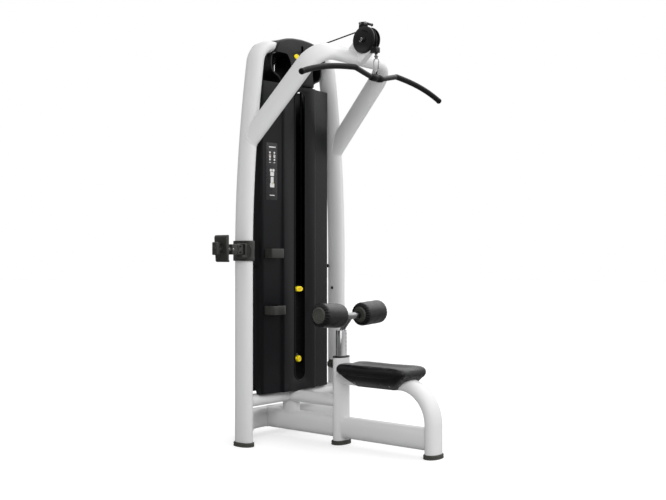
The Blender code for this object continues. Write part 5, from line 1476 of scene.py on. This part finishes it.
def build_cradle():
    frame_of = Matrix.Translation((CRADLE_X, HOLDER_Y, CRADLE_Z)) @ XZ
    back = [(-0.019, -0.062), (-0.031, -0.064), (-0.037, 0.0), (-0.041, 0.062), (-0.035, 0.072),
            (-0.0185, 0.073)]
    parts = [slab("cradle_back", fillet(back, 0.006, 4, True), 0.088, frame_of, OLIVE, 0.0030, 3)]
    lip = fillet([(-0.017, -0.066), (-0.024, -0.066), (-0.024, -0.056), (-0.017, -0.056)], 0.002, 2, True)
    parts.append(slab("cradle_lip", lip, 0.090, frame_of, OLIVE, 0.001, 2))
    for dy in (-0.0165, 0.0165):
        ear = fillet([(-0.024, -0.020), (0.006, -0.0135), (0.0145, -0.004), (0.0145, 0.004), (0.006, 0.0135),
                      (-0.024, 0.020)], 0.006, 4, True)
        parts.append(slab("cradle_ear", ear, 0.0088, Matrix.Translation((0, dy, 0)) @ frame_of, OLIVE,
                          0.0015, 2))
        side = math.copysign(1, dy)
        parts.append(socket_screw("ear_screw", (CRADLE_X, HOLDER_Y + dy + side * 0.0044, CRADLE_Z),
                                  (0, side, 0), 0.0062, 0.0030, STEEL))
    stalk = rod("clamp_stalk", (CRADLE_X - 0.025, HOLDER_Y, CRADLE_Z),
                (CRADLE_X - 0.064, HOLDER_Y, CRADLE_Z), 0.0175, OLIVE, 0.003, 64)
    body = block("clamp_body", (CRADLE_X - 0.082, HOLDER_Y - 0.017, CRADLE_Z - 0.030),
                 (CRADLE_X - 0.052, HOLDER_Y + 0.017, CRADLE_Z + 0.036), OLIVE, 0.005, 4)
    dial = lathe("clamp_dial", [(0, 0.0036), (0.009, 0.0036), (0.0115, 0.0024), (0.0125, 0),
                                (0.0125, -0.002), (0, -0.002)],
                 (CRADLE_X - 0.0815, HOLDER_Y, CRADLE_Z + 0.004), (-1, 0, 0), OLIVE, 48,
                 wobble=lambda a, r, h: 0.0004 * math.cos(12 * a) if r > 0.01 else 0.0)
    parts += [stalk, body, dial]
    place(joined("holder_cradle_plate", *parts), "cradle", "holder_cradle")


# ---------------------------------------------------------------- studio
FLOOR_GLOW = 0.54
WORLD_GAIN = (0.62, 2.3)


def area_light(name, spot, aim, size, power):
    light = bpy.data.lights.new(name, "AREA")
    light.shape = "RECTANGLE"
    light.size = light.size_y = size
    light.energy = power
    obj = linked(name, light)
    obj.location = spot
    obj.rotation_euler = (Vector(aim) - Vector(spot)).to_track_quat("-Z", "Y").to_euler()
    return obj


def build_world():
    """White to the camera. To everything else a dim room, brighter overhead and to the front right."""
    world = bpy.data.worlds.new("studio")
    world.use_nodes = True
    tree = world.node_tree
    coords, split = tree.nodes.new("ShaderNodeTexCoord"), tree.nodes.new("ShaderNodeSeparateXYZ")
    tree.links.new(coords.outputs["Generated"], split.inputs[0])
    ramp = tree.nodes.new("ShaderNodeValToRGB")
    tree.links.new(ranged(tree, split.outputs["Z"], 0, 1, -1.0, 1.0), ramp.inputs["Fac"])
    levels = ((0.0, 0.20), (0.42, 0.16), (0.50, 0.40), (0.60, 0.26), (0.80, 1.05), (1.0, 1.35))
    shades = ramp.color_ramp.elements
    shades[0].position, shades[1].position = levels[0][0], levels[-1][0]
    for position, _ in levels[1:-1]:
        shades.new(position)
    for shade, (_, level) in zip(shades, levels):
        shade.color = (level, level, level, 1)
    facing = node(tree, "VectorMath", operation="DOT_PRODUCT")
    tree.links.new(coords.outputs["Generated"], facing.inputs[0])
    facing.inputs[1].default_value = (0.96, -0.28, 0.06)
    gain = ranged(tree, facing.outputs["Value"], *WORLD_GAIN, 0.10, 0.85)
    scaled = node(tree, "VectorMath", operation="SCALE")
    tree.links.new(ramp.outputs["Color"], scaled.inputs[0])
    tree.links.new(gain, scaled.inputs["Scale"])
    rays, choose = tree.nodes.new("ShaderNodeLightPath"), tree.nodes.new("ShaderNodeMixRGB")
    tree.links.new(rays.outputs["Is Camera Ray"], choose.inputs["Fac"])
    tree.links.new(scaled.outputs[0], choose.inputs["Color1"])
    choose.inputs["Color2"].default_value = (1, 1, 1, 1)
    tree.links.new(choose.outputs["Color"], tree.nodes["Background"].inputs["Color"])
    tree.nodes["Background"].inputs["Strength"].default_value = 1.0
    return world


def brighten_floor(material, strength):
    """Lifts the floor to white for the camera only, so that just the contact shadows stay."""
    tree = material.node_tree
    rays, glow, add = (tree.nodes.new("ShaderNode" + kind) for kind in ("LightPath", "Emission", "AddShader"))
    scale = node(tree, "Math", operation="MULTIPLY")
    scale.inputs[1].default_value = strength
    tree.links.new(rays.outputs["Is Camera Ray"], scale.inputs[0])
    tree.links.new(scale.outputs[0], glow.inputs["Strength"])
    out = tree.nodes["Material Output"]
    tree.links.new(tree.nodes["Principled BSDF"].outputs[0], add.inputs[0])
    tree.links.new(glow.outputs[0], add.inputs[1])
    tree.links.new(add.outputs[0], out.inputs["Surface"])


def build_studio():
    scene = bpy.context.scene
    stage = look("studio_floor", (0.55, 0.55, 0.55), 0.75, vary=0.004, patch=0.4, rough_vary=0.02,
                 specular=0.2)
    brighten_floor(stage, FLOOR_GLOW)
    floor = slab("floor", [(-30, -30), (30, -30), (30, 30), (-30, 30)], 0.02, plane_xy(-0.0102), stage)
    floor.visible_glossy = False
    scene.world = build_world()
    scene.view_settings.view_transform = "Standard"
    area_light("key", (-0.6, -5.6, 3.6), (0, 0, 1.0), 3.2, 45)
    area_light("front", (-4.8, -4.0, 4.2), (0, 0.1, 1.0), 2.8, 165).visible_glossy = False
    camera = bpy.data.cameras.new("camera")
    camera.lens, camera.sensor_width = 52.52, 36
    obj = linked("camera", camera)
    obj.location = (-4.018, -3.308, 1.0055)
    obj.rotation_euler = (math.pi / 2 + math.radians(0.3241), 0, math.radians(-50.0462))
    scene.camera = obj


build_tubes()
build_seat_post()
build_feet()
build_pulley()
build_cables()
build_hook()
build_bar()
build_shrouds()
build_standoffs()
build_head_cover()
build_head_works()
build_pins()
build_ledges()
build_placard()
build_seat()
build_seat_shell()
build_thigh_post()
build_roller("roller_left", -1, "roller_left_body")
build_roller("roller_right", 1, "roller_right_body")
build_pop_pin()
build_holder()
build_studio()
